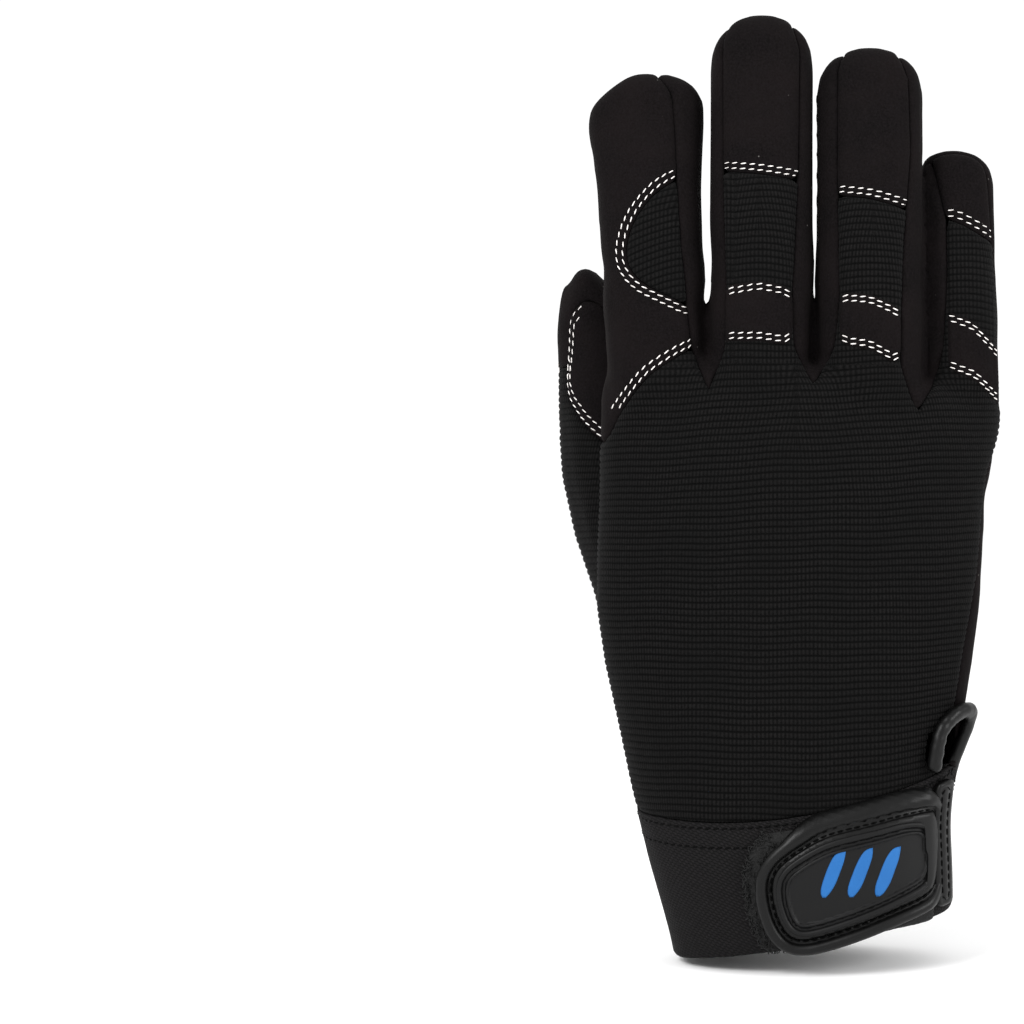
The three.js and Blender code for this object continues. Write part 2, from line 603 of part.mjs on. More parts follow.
const layer = (low, high) => handTube(high, MOUTH_DROP).subtract(handTube(low, 2 * MOUTH_DROP));
const tabInset = (distance) => smoothed(offset(TAB.map(onCuff), -distance), 24);
const tabOutline = tabInset(0);
const onBack = (outline) => prism(outline, -HUGE, 0);
const loopLow = cuffProud + GAP;
const tabLow = loopLow + LOOP_PAD_THICKNESS + GAP;
const tabHigh = tabLow + TAB_THICKNESS;
const loopOutline = tabInset(-LOOP_PAD_MARGIN);
const aboveMouth = handTube(2 * tabHigh);
const tabEnd = onCuff([0.26, 0])[0];
const freeEnd = prism([[-HUGE, -HUGE], [tabEnd, -HUGE], [tabEnd, HUGE], [-HUGE, HUGE]], -HUGE, HUGE);
addPiece('loop_pad', layer(loopLow, loopLow + LOOP_PAD_THICKNESS).intersect(onBack(loopOutline))
  .intersect(freeEnd).intersect(aboveMouth).intersect(cuffZone), COLOURS.cuff, 1);
const rim = onBack(tabOutline).subtract(onBack(tabInset(TAB_RIM_WIDTH)));
addPiece('closure_tab', layer(tabLow, tabHigh).intersect(onBack(tabOutline))
  .add(layer(tabLow, tabHigh + TAB_RIM_RISE).intersect(rim)), COLOURS.moulded, 0.5);
const badgeOutline = tabInset(TAB_RIM_WIDTH + BADGE_MARGIN);
const badgeLayer = layer(tabHigh + GAP, tabHigh + GAP + BADGE_THICKNESS);
addPiece('tab_badge', badgeLayer.intersect(onBack(badgeOutline)), COLOURS.rubber, 0.6);

const anchorTo = ANCHOR.from + ANCHOR_WIDTH / PALM_WIDTH * 360;
const anchorLow = ANCHOR.low * CUFF_HEIGHT / HAND_LENGTH;
const anchorHigh = ANCHOR.high * CUFF_HEIGHT / HAND_LENGTH;
const anchorOutline = [
  [ANCHOR.from, anchorLow], [anchorTo, anchorLow], [anchorTo, anchorHigh], [ANCHOR.from, anchorHigh],
];
const anchorLayer = layer(loopLow, loopLow + ANCHOR_THICKNESS);
addPiece('tab_anchor', anchorLayer.intersect(plug(anchorOutline)), COLOURS.moulded, 0.6);

const ventPath = new THREE.CatmullRomCurve3(
  VENT.map(([turn, up]) => onHandSurface(turn, up, cuffProud + GAP + PIPING_RADIUS)),
);
const pipingShape = new THREE.Shape().absarc(0, 0, PIPING_RADIUS, 0, 2 * Math.PI, false);
const piping = new THREE.ExtrudeGeometry(pipingShape, {
  steps: 12, curveSegments: 3, bevelEnabled: false, extrudePath: ventPath,
});
addPiece('vent_binding', manifoldOf(piping), COLOURS.moulded, 0.5);

const glove = new THREE.Group();
for (const { name, solid, colour, roughness } of pieces) {
  const { vertProperties, triVerts } = solid.getMesh();
  const geometry = new THREE.BufferGeometry();
  geometry.setAttribute('position', new THREE.BufferAttribute(new Float32Array(vertProperties), 3));
  geometry.setIndex([...triVerts]);
  geometry.computeVertexNormals();
  const material = new THREE.MeshStandardMaterial({ color: colour, roughness, metalness: 0 });
  const mesh = new THREE.Mesh(geometry, material);
  mesh.name = name;
  glove.add(mesh);
}

export default glove;
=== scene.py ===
# %% [markdown]
# # A mechanic glove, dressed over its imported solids
#
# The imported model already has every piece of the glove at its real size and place. This
# script gives each piece its finish. It reads the solids first and keeps the box round
# them, because nothing it makes may outgrow that box by much.

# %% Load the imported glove
import itertools
import math

import bpy
import numpy as np
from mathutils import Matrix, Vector
from mathutils.bvhtree import BVHTree


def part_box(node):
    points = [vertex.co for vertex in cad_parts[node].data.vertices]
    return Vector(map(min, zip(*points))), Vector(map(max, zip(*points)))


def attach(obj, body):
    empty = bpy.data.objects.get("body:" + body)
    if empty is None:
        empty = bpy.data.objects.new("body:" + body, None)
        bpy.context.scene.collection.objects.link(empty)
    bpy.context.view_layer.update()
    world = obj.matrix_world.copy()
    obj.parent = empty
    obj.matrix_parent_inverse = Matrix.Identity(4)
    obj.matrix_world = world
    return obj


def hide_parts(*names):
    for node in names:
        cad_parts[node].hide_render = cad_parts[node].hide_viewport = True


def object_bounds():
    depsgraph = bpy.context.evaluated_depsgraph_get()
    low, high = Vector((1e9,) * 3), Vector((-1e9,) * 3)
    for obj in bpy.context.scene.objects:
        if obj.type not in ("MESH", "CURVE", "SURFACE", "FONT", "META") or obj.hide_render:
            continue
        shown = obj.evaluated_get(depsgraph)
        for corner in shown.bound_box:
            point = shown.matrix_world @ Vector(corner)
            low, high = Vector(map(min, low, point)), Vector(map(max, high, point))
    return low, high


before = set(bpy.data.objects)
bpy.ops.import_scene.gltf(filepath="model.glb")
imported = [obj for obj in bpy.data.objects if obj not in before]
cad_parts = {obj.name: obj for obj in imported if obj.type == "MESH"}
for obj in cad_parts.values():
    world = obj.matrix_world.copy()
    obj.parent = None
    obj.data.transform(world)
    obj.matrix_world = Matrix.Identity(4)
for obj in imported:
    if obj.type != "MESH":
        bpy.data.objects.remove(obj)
CAD_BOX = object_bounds()
MM = 0.001
ROOT = "root"
print("CAD box in mm:", [[round(v / MM, 1) for v in corner] for corner in CAD_BOX])

# %% [markdown]
# ## The camera
#
# The glove was photographed from straight in front of its back, from about 650 mm away.
# One pixel is 0.26 mm of the plane through the cuff's centre. The camera stands level with
# the knuckles, and its shift puts the glove at its own place in the right half of the frame.

# %% Place the camera
PIXEL = 0.26 * MM
FRAME_PIXELS = 1024
EYE = Vector((-10, -650, 115)) * MM
ORIGIN_PIXEL = (814, 929)
SENSOR = 36

frame_width = FRAME_PIXELS * PIXEL
middle_x = (FRAME_PIXELS / 2 - ORIGIN_PIXEL[0]) * PIXEL
middle_z = (ORIGIN_PIXEL[1] - FRAME_PIXELS / 2) * PIXEL
bpy.ops.object.camera_add(location=EYE, rotation=(math.pi / 2, 0, 0))
camera = bpy.context.object
camera.data.sensor_width = SENSOR
camera.data.lens = SENSOR * -EYE.y / frame_width
camera.data.shift_x = (middle_x - EYE.x) / frame_width
camera.data.shift_y = (middle_z - EYE.z) / frame_width
camera.data.clip_start = 0.05
bpy.context.scene.camera = camera
shift = (round(camera.data.shift_x, 3), round(camera.data.shift_y, 3))
print("lens", round(camera.data.lens, 1), "shift", *shift)

# %% [markdown]
# ## Helpers for meshes
#
# Soft pieces are made as arrays of points and faces, because a glove's panels follow one
# skin and are cut along its seams. These helpers turn Blender objects into arrays and back.

# %% Turn objects into arrays and arrays into objects
def alone(obj):
    """Select obj and nothing else, because an operator acts on all that is selected."""
    bpy.ops.object.select_all(action="DESELECT")
    obj.select_set(True)
    bpy.context.view_layer.objects.active = obj


def apply_modifier(obj, kind, **settings):
    """Add a modifier, set it and apply it."""
    alone(obj)
    modifier = obj.modifiers.new(kind.lower(), kind)
    for name, value in settings.items():
        setattr(modifier, name, value)
    bpy.ops.object.modifier_apply(modifier=modifier.name)


def copy_of_nodes(nodes, name):
    """One merged mesh object that copies the named CAD nodes."""
    bpy.ops.object.select_all(action="DESELECT")
    copies = []
    for node in nodes:
        copied = bpy.data.objects.new(name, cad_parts[node].data.copy())
        bpy.context.collection.objects.link(copied)
        copied.select_set(True)
        copies.append(copied)
    bpy.context.view_layer.objects.active = copies[0]
    if len(copies) > 1:
        bpy.ops.object.join()
    made = bpy.context.object
    bpy.ops.object.mode_set(mode="EDIT")
    bpy.ops.mesh.select_all(action="SELECT")
    bpy.ops.mesh.remove_doubles(threshold=0.01 * MM)
    bpy.ops.object.mode_set(mode="OBJECT")
    return made


def tree_of(node):
    """A search tree over a CAD node's faces."""
    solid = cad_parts[node].data
    return BVHTree.FromPolygons([v.co for v in solid.vertices], [f.vertices for f in solid.polygons])


def points_of(obj):
    co = np.empty(len(obj.data.vertices) * 3)
    obj.data.vertices.foreach_get("co", co)
    return co.reshape(-1, 3)


def faces_of(obj):
    return [tuple(face.vertices) for face in obj.data.polygons]


def object_from(name, points, faces, uv=None):
    """A smooth-shaded mesh object. uv holds one pair for each point."""
    mesh = bpy.data.meshes.new(name)
    mesh.from_pydata([tuple(p) for p in points], [], [list(f) for f in faces])
    mesh.validate()
    if uv is not None:
        layer = mesh.uv_layers.new(name="weave")
        corners = np.empty(len(mesh.loops), dtype=np.int32)
        mesh.loops.foreach_get("vertex_index", corners)
        layer.data.foreach_set("uv", np.asarray(uv)[corners].ravel())
    mesh.shade_smooth()
    made = bpy.data.objects.new(name, mesh)
    bpy.context.collection.objects.link(made)
    return made


def delete(obj):
    bpy.data.objects.remove(obj)


def smoothstep(low, high, value):
    share = np.clip((value - low) / (high - low), 0, 1)
    return share * share * (3 - 2 * share)


# %% [markdown]
# ## One smooth skin for the whole glove
#
# The CAD solids are faceted. Their joined copy is remeshed into an even grid of quads and
# smoothed until the facets are gone. Smoothing pulls a skin inwards, so the loss is
# measured, smoothed as well and given back along the normals. A plug closes the mouth and a
# lid the vent first, so that no ray from the hollow for the hand gets out, and that side of
# the remesh is dropped. The plug goes on below the mouth, so that the cuff can be cut
# cleanly at its edge.

# %% Remesh and smooth the skin
BASE_NODES = [
    "back_panel", "index_knit_window", "palm_panel", "index_middle_fourchette",
    "middle_ring_fourchette", "ring_little_fourchette", "middle_fingertip", "ring_fingertip",
    "little_fingertip", "thumb_web_patch", "thumb_cap", "thumb_front",
]
SKIN_STEP = 1.2 * MM
SMOOTH_ROUNDS = 34
VENT_CENTRE = Vector((34.2, -8.4, 49)) * MM
VENT_LID = Vector((1.6, 13, 17)) * MM
VENT_TURN = -0.5
PLUG_SIDES = 96
PLUG_HEIGHTS = (12, 9, 6, 4, 2, 0, -2, -4, -7, -10, -13)
PLUG_BITE = 1.1 * MM          # how deep the plug's side sits in the cuff's wall
FINGER_WALLS = np.array([-27.9, 0.15]) * MM      # between index and middle, middle and ring
FINGER_SHIFTS = np.array([-4.0, -1.2, 1.6]) * MM
SHIFT_FROM, SHIFT_TO = 156 * MM, 176 * MM


def normals_of(points, quads):
    """Point normals of a quad mesh, weighted by area."""
    a, b, c, d = (points[quads[:, k]] for k in range(4))
    face = np.cross(c - a, d - b)
    total = np.zeros_like(points)
    for k in range(4):
        for axis in range(3):
            total[:, axis] += np.bincount(quads[:, k], face[:, axis], len(points))
    return total / np.maximum(np.linalg.norm(total, axis=1, keepdims=True), 1e-12)


def part_fingers(points, together=False):
    """Move the fingers apart, or together again, so that the remesh keeps their gaps open."""
    share = smoothstep(SHIFT_FROM, SHIFT_TO, points[:, 2])
    finger = np.zeros(len(points), int)
    for k, wall in enumerate(FINGER_WALLS):
        moved = share * (FINGER_SHIFTS[k] + FINGER_SHIFTS[k + 1]) / 2 if together else 0
        finger += points[:, 0] > wall + moved
    shifted = points.copy()
    shifted[:, 0] += FINGER_SHIFTS[finger] * share * (-1 if together else 1)
    return shifted


def spread(values, edges, rounds, share=0.5):
    """Average each value with its neighbours, again and again."""
    values = values.copy()
    count = len(values)
    a, b = edges[:, 0], edges[:, 1]
    degree = np.bincount(a, minlength=count) + np.bincount(b, minlength=count)
    degree = np.maximum(degree, 1)
    flat = values.reshape(count, -1)
    for _ in range(rounds):
        for axis in range(flat.shape[1]):
            column = flat[:, axis]
            total = np.bincount(a, column[b], count) + np.bincount(b, column[a], count)
            flat[:, axis] = column + share * (total / degree - column)
    return flat.reshape(values.shape)


whole = copy_of_nodes([*BASE_NODES, "cuff_band"], "whole_glove")
bpy.ops.object.select_all(action="DESELECT")
cuff_tree = tree_of("cuff_band")
angles = np.linspace(0, 2 * math.pi, PLUG_SIDES, endpoint=False)
rings = []
for z in PLUG_HEIGHTS:
    ring = np.empty((PLUG_SIDES, 3))
    for k, angle in enumerate(angles):
        aim = Vector((math.cos(angle), math.sin(angle), 0))
        reach = cuff_tree.ray_cast(Vector((0, 0, z * MM)), aim)[3]
        if reach is None:
            reach = 2 * np.linalg.norm(rings[-1][k, :2]) - np.linalg.norm(rings[-2][k, :2]) - PLUG_BITE
        ring[k] = aim * (reach + PLUG_BITE)
        ring[k, 2] = z * MM
    rings.append(ring)
last_ring = range(PLUG_SIDES * (len(rings) - 1), PLUG_SIDES * len(rings))
plug_faces = [tuple(range(PLUG_SIDES)), tuple(reversed(last_ring))]
for i in range(len(rings) - 1):
    for k in range(PLUG_SIDES):
        here, following = i * PLUG_SIDES + k, i * PLUG_SIDES + (k + 1) % PLUG_SIDES
        plug_faces.append((following, here, here + PLUG_SIDES, following + PLUG_SIDES))
mouth_plug = object_from("mouth_plug", np.concatenate(rings), plug_faces)
bpy.ops.mesh.primitive_cube_add(size=1, location=VENT_CENTRE, scale=VENT_LID, rotation=(0, 0, VENT_TURN))
vent_lid = bpy.context.object
alone(whole)
mouth_plug.select_set(True)
vent_lid.select_set(True)
bpy.ops.object.join()
whole.data.vertices.foreach_set("co", part_fingers(points_of(whole)).ravel())
apply_modifier(whole, "REMESH", mode="VOXEL", voxel_size=SKIN_STEP)
rough = points_of(whole)
skin_quads = np.array([f for f in faces_of(whole) if len(f) == 4])
skin_edges = np.array([tuple(e.vertices) for e in whole.data.edges])
delete(whole)

DIRECTIONS = [Vector(d).normalized() for d in itertools.product((-1, 0, 1), repeat=3) if any(d)]
rough_tree = BVHTree.FromPolygons(rough.tolist(), skin_quads.tolist())
rough_normals = normals_of(rough, skin_quads)


def sees_out(place, up):
    """Whether a ray from here leaves the glove. None does from the hollow for the hand."""
    place, up = Vector(place), Vector(up)
    start = place + up * 0.4 * MM
    for aim in [up, *DIRECTIONS]:
        if aim.dot(up) > 0.1 and rough_tree.ray_cast(start, aim)[0] is None:
            return True
    return False


seen = np.array([sees_out(place, up) for place, up in zip(rough, rough_normals)], float)
kept = spread(seen, skin_edges, 4)[skin_quads].mean(axis=1) > 0.5
skin_quads = skin_quads[kept]
used = np.unique(skin_quads)
renumber = np.full(len(rough), -1)
renumber[used] = np.arange(len(used))
rough, skin_quads = rough[used], renumber[skin_quads]
pairs = np.concatenate([skin_quads[:, [k, (k + 1) % 4]] for k in range(4)])
skin_edges = np.unique(np.sort(pairs, axis=1), axis=0)
print("kept", len(skin_quads), "of", len(kept), "quads")

smooth = spread(rough, skin_edges, SMOOTH_ROUNDS)
skin_normals = normals_of(smooth, skin_quads)
loss = ((rough - smooth) * skin_normals).sum(1)
skin_points = smooth + skin_normals * spread(loss, skin_edges, SMOOTH_ROUNDS)[:, None]
for _ in range(2):
    loss = ((rough - skin_points) * skin_normals).sum(1)
    skin_points += skin_normals * spread(loss, skin_edges, SMOOTH_ROUNDS // 2)[:, None]
skin_points = part_fingers(skin_points, together=True)
skin_normals = spread(normals_of(skin_points, skin_quads), skin_edges, 2)
skin_normals /= np.linalg.norm(skin_normals, axis=1, keepdims=True)
print("skin:", len(skin_points), "points,", len(skin_quads), "quads")

# %% [markdown]
# ## How far each point of the skin is from each panel
#
# A seam runs where a point is as far from one panel as from its neighbour. So the distance
# from every skin point to every CAD panel is all that the cutting needs, and it places the
# stitch rows later as well.

# %% Measure the distances
FAR = 7 * MM
SEEN_NODES = [*BASE_NODES, "cuff_band"]
distance = {}
for node in SEEN_NODES:
    tree = tree_of(node)
    low, high = (np.array(corner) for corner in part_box(node))
    near = np.all((skin_points > low - FAR) & (skin_points < high + FAR), axis=1)
    away = np.full(len(skin_points), FAR)
    for k in np.flatnonzero(near):
        found = tree.find_nearest(skin_points[k], FAR)
        if found[0] is not None:
            away[k] = found[3]
    distance[node] = away
print("measured", len(distance), "panels")

# The smoothing shortens the domed ends of the fingers, so they are drawn out again.
TIPS = [
    # x from, x to, height from, height to, draw, all in mm
    (-70, -27.9, 190, 217, 2.0),
    (-27.9, 0.15, 200, 233, 2.1),
    (0.15, 29, 192, 223, 2.0),
    (29, 60, 178, 198, 2.2),
]
drawn = np.zeros(len(skin_points))
for x_from, x_to, z_from, z_to, draw in TIPS:
    on = (skin_points[:, 0] > x_from * MM) & (skin_points[:, 0] <= x_to * MM)
    on &= skin_points[:, 2] < (z_to + 9) * MM
    drawn[on] = draw * MM * smoothstep(z_from * MM, z_to * MM, skin_points[on, 2])
thumb_x = skin_points[:, 0] / MM
lobes = 3.2 * np.exp(-((thumb_x + 62.5) / 4.5) ** 2) + 2.0 * np.exp(-((thumb_x + 68.3) / 2.2) ** 2)
lobes -= 1.6 * np.exp(-((thumb_x + 66.2) / 0.8) ** 2) + 1.2 * smoothstep(-60, -54, thumb_x)
on_thumb = smoothstep(16 * MM, 19 * MM, skin_points[:, 1]) * smoothstep(-46 * MM, -50 * MM, skin_points[:, 0])
drawn += lobes * MM * on_thumb * smoothstep(158 * MM, 170 * MM, skin_points[:, 2])
index_corner = smoothstep(-45 * MM, -57 * MM, skin_points[:, 0])
index_corner *= smoothstep(199 * MM, 213 * MM, skin_points[:, 2])
skin_points[:, 2] += spread(drawn - 3.4 * MM * index_corner, skin_edges, 3)


def others_distance(nodes):
    return np.min([distance[n] for n in distance if n not in nodes], axis=0)


# %% [markdown]
# ## Cutting a panel and slicing it finer
#
# One routine serves both jobs. It walks round each face and adds a point wherever a field
# crosses one of the given levels. Then it parts the face at those points. A face on which
# the field rises twice, like a saddle, is made triangles first, because its parts would
# overlap. Every new point remembers its two parents, so any other quantity can be carried
# over to it.

# %% Part faces along the levels of a field
def rises_once(values):
    """Whether the values rise on one stretch only on the way round a face."""
    rises = [b > a for a, b in zip(values, values[1:] + values[:1]) if a != b]
    return sum(a != b for a, b in zip(rises, rises[1:] + rises[:1])) <= 2


def without_saddles(field, faces, chosen):
    """Fan each chosen face on which field rises twice into triangles."""
    values = field.tolist()
    out_faces, out_chosen = [], []
    for face, on in zip(faces, chosen):
        if on and len(face) > 3 and not rises_once([values[p] for p in face]):
            out_faces += [(face[0], *pair) for pair in zip(face[1:], face[2:])]
        else:
            out_faces.append(face)
        out_chosen += [on] * (len(out_faces) - len(out_chosen))
    return out_faces, out_chosen


def part_faces(field, faces, levels, chosen, keep_above=None):
    """Split the chosen faces where field crosses levels.

    Returns the faces, their chosen flags and, for each new point, its two parents and share.
    """
    faces, chosen = without_saddles(field, faces, chosen)
    count = len(field)
    levels = np.asarray(levels, float)
    cuts, parents, shares, new_level = {}, [], [], {}

    def cuts_on(a, b):
        key = (a, b) if a < b else (b, a)
        if key not in cuts:
            fa, fb = field[key[0]], field[key[1]]
            made = []
            if fa != fb:
                first, last = np.searchsorted(levels, sorted((fa, fb)))
                order = range(first, last) if fa < fb else range(last - 1, first - 1, -1)
                for k in order:
                    share = (levels[k] - fa) / (fb - fa)
                    if 1e-6 < share < 1 - 1e-6:
                        made.append(count + len(parents))
                        parents.append(key)
                        shares.append(share)
                        new_level[made[-1]] = levels[k]
            cuts[key] = made
        made = cuts[key]
        return made if (a, b) == key else made[::-1]

    def value(p):
        return new_level[p] if p >= count else field[p]

    for face, on in zip(faces, chosen):
        if on:
            for k, p in enumerate(face):
                cuts_on(p, face[(k + 1) % len(face)])
    out_faces, out_chosen = [], []
    for face, on in zip(faces, chosen):
        ring = []
        for k, p in enumerate(face):
            ring.append(p)
            following = face[(k + 1) % len(face)]
            key = (p, following) if p < following else (following, p)
            if key in cuts:
                ring.extend(cuts_on(p, following))
        if not on:
            out_faces.append(tuple(ring))
            out_chosen.append(False)
            continue
        values = [value(p) for p in ring]
        low, high = min(values), max(values)
        crossed = levels[np.searchsorted(levels, low):np.searchsorted(levels, high)]
        inner = [v for v in crossed if low < v < high]
        bounds = [-np.inf, *inner, np.inf]
        for bottom, top in zip(bounds, bounds[1:]):
            part = tuple(p for p, v in zip(ring, values) if bottom - 1e-12 <= v <= top + 1e-12)
            if len(part) < 3:
                continue
            if keep_above is not None and max(value(p) for p in part) <= keep_above + 1e-12:
                continue
            out_faces.append(part)
            out_chosen.append(True)
    parents = np.array(parents, dtype=int).reshape(-1, 2)
    return out_faces, out_chosen, (parents, np.array(shares))


def carried(values, birth):
    """values for the old points, and for the new ones between their parents."""
    parents, shares = birth
    if not len(parents):
        return values
    a, b = values[parents[:, 0]], values[parents[:, 1]]
    weight = shares if values.ndim == 1 else shares[:, None]
    return np.concatenate([values, a + (b - a) * weight])


def used_only(faces, arrays):
    """Drop the points that no face uses."""
    used = np.unique(np.concatenate([np.array(f) for f in faces]))
    renumber = np.full(int(used[-1]) + 1, -1)
    renumber[used] = np.arange(len(used))
    faces = [tuple(int(renumber[p]) for p in f) for f in faces]
    return faces, {name: values[used] for name, values in arrays.items()}


def border_edges(faces):
    """Edges that only one face uses, in that face's direction."""
    count = {}
    for face in faces:
        for k, p in enumerate(face):
            edge = (p, face[(k + 1) % len(face)])
            count[frozenset(edge)] = None if frozenset(edge) in count else edge
    return [edge for edge in count.values() if edge is not None]


SEAM_GAP = 0.06 * MM
SNAP = 0.16 * MM


def cut_out(field, extra, surface=None):
    """The part of the skin, or of another surface, where field is positive, with a smooth border."""
    points, normals, quads = surface or (skin_points, skin_normals, skin_quads)
    field = np.where(np.abs(field) < SNAP, 0.0, field)
    chosen_quads = [tuple(q) for q in quads[(field[quads] > 0).any(axis=1)]]
    faces, _, birth = part_faces(field, chosen_quads, [0.0], [True] * len(chosen_quads), keep_above=0.0)
    arrays = {"points": points, "normals": normals, "field": field, **extra}
    arrays = {name: carried(values, birth) for name, values in arrays.items()}
    faces, arrays = used_only(faces, arrays)
    edges = border_edges(faces)
    neighbours = {}
    for a, b in edges:
        neighbours.setdefault(a, []).append(b)
        neighbours.setdefault(b, []).append(a)
    points = arrays["points"]
    for _ in range(4):
        moved = points.copy()
        for p, near in neighbours.items():
            if len(near) != 2:
                continue
            one, two = points[near[0]] - points[p], points[near[1]] - points[p]
            corner = one @ two / (np.linalg.norm(one) * np.linalg.norm(two) + 1e-12)
            if corner < -0.35:
                moved[p] = points[p] + 0.25 * (one + two)
        points = moved
    arrays["points"] = points
    return faces, arrays, edges


def thick(faces, arrays, edges, wall):
    """Add an inner side, wall away, and a rim. The outer faces come first."""
    count = len(arrays["points"])
    inner = {name: values.copy() for name, values in arrays.items()}
    inner["points"] = arrays["points"] - arrays["normals"] * wall
    joined = {name: np.concatenate([arrays[name], inner[name]]) for name in arrays}
    joined["outside"] = np.concatenate([np.ones(count), np.zeros(count)])
    whole_faces = list(faces)
    whole_faces += [tuple(p + count for p in reversed(f)) for f in faces]
    whole_faces += [(b, a, a + count, b + count) for a, b in edges]
    chosen = [True] * len(faces) + [False] * (len(whole_faces) - len(faces))
    return whole_faces, joined, chosen


# %% [markdown]
# ## Materials: helpers
#
# Colours are given as sRGB hex values, as picked on a screen, and turned linear by one
# function. Every pattern is sized in millimetres of the real cloth.

# %% Helpers for materials
def linear(hex_colour):
    """A linear colour from an sRGB hex number."""
    parts = [((hex_colour >> shift) & 255) / 255 for shift in (16, 8, 0)]
    return (*[p / 12.92 if p <= 0.04045 else ((p + 0.055) / 1.055) ** 2.4 for p in parts], 1)


def add(tree, kind, inputs=None, **settings):
    """Add a node. inputs maps a socket to a value or to another node's output."""
    node = tree.nodes.new("ShaderNode" + kind)
    for name, value in settings.items():
        setattr(node, name, value)
    for socket, value in (inputs or {}).items():
        if isinstance(value, bpy.types.NodeSocket):
            tree.links.new(value, node.inputs[socket])
        else:
            node.inputs[socket].default_value = value
    return node


def new_material(name):
    material = bpy.data.materials.new(name)
    material.use_nodes = True
    tree = material.node_tree
    shader = tree.nodes["Principled BSDF"]
    return material, tree, shader


def per_mm(millimetres):
    """A texture scale whose features measure so many millimetres in object space."""
    return 1 / (millimetres * MM)


# %% [markdown]
# ### Synthetic suede
#
# The palm and the fingertips are microfibre suede, dyed black in the mass. Its short nap
# scatters light, so it has hardly any gloss, a faint brown where the nap is brushed up, and
# pale specks of lint caught in it.

# %% Make the suede
def suede_material():
    material, tree, shader = new_material("black microfibre suede")
    place = add(tree, "TexCoord").outputs["Object"]
    patches = add(tree, "TexNoise", {"Vector": place, "Scale": per_mm(14), "Detail": 3.0})
    nap = add(tree, "TexNoise", {"Vector": place, "Scale": per_mm(0.55), "Detail": 4.0, "Roughness": 0.7})
    grit = add(tree, "TexNoise", {"Vector": place, "Scale": per_mm(1.6), "Detail": 2.0})
    brushed = add(tree, "Mix", {
        "Factor": add(tree, "MapRange", {
            "Value": patches.outputs["Fac"], "From Min": 0.35, "From Max": 0.7}).outputs["Result"],
        "A": linear(0x050404), "B": linear(0x0e0a0a)}, data_type="RGBA")
    napped = add(tree, "Mix", {
        "Factor": add(tree, "MapRange", {
            "Value": nap.outputs["Fac"], "From Min": 0.3, "From Max": 0.75}).outputs["Result"],
        "A": brushed.outputs["Result"], "B": linear(0x141112)}, data_type="RGBA")
    specks = add(tree, "TexVoronoi", {"Vector": place, "Scale": per_mm(5.5), "Randomness": 1.0})
    lint = add(tree, "MapRange", {
        "Value": specks.outputs["Distance"], "From Min": 0.045, "From Max": 0.02, "To Max": 0.35})
    coloured = add(tree, "Mix", {
        "Factor": lint.outputs["Result"], "A": napped.outputs["Result"], "B": linear(0x8a8682)},
        data_type="RGBA")
    tree.links.new(coloured.outputs["Result"], shader.inputs["Base Color"])
    height = add(tree, "Math", {0: nap.outputs["Fac"], 1: grit.outputs["Fac"]}, operation="ADD")
    bump = add(tree, "Bump", {"Height": height.outputs[0], "Strength": 0.55, "Distance": 0.18 * MM})
    tree.links.new(bump.outputs["Normal"], shader.inputs["Normal"])
    shader.inputs["Roughness"].default_value = 0.92
    shader.inputs["Specular IOR Level"].default_value = 0.05
    shader.inputs["Sheen Weight"].default_value = 0.014
    shader.inputs["Sheen Roughness"].default_value = 0.45
    shader.inputs["Sheen Tint"].default_value = linear(0x9a8f88)
    return material


SUEDE = suede_material()
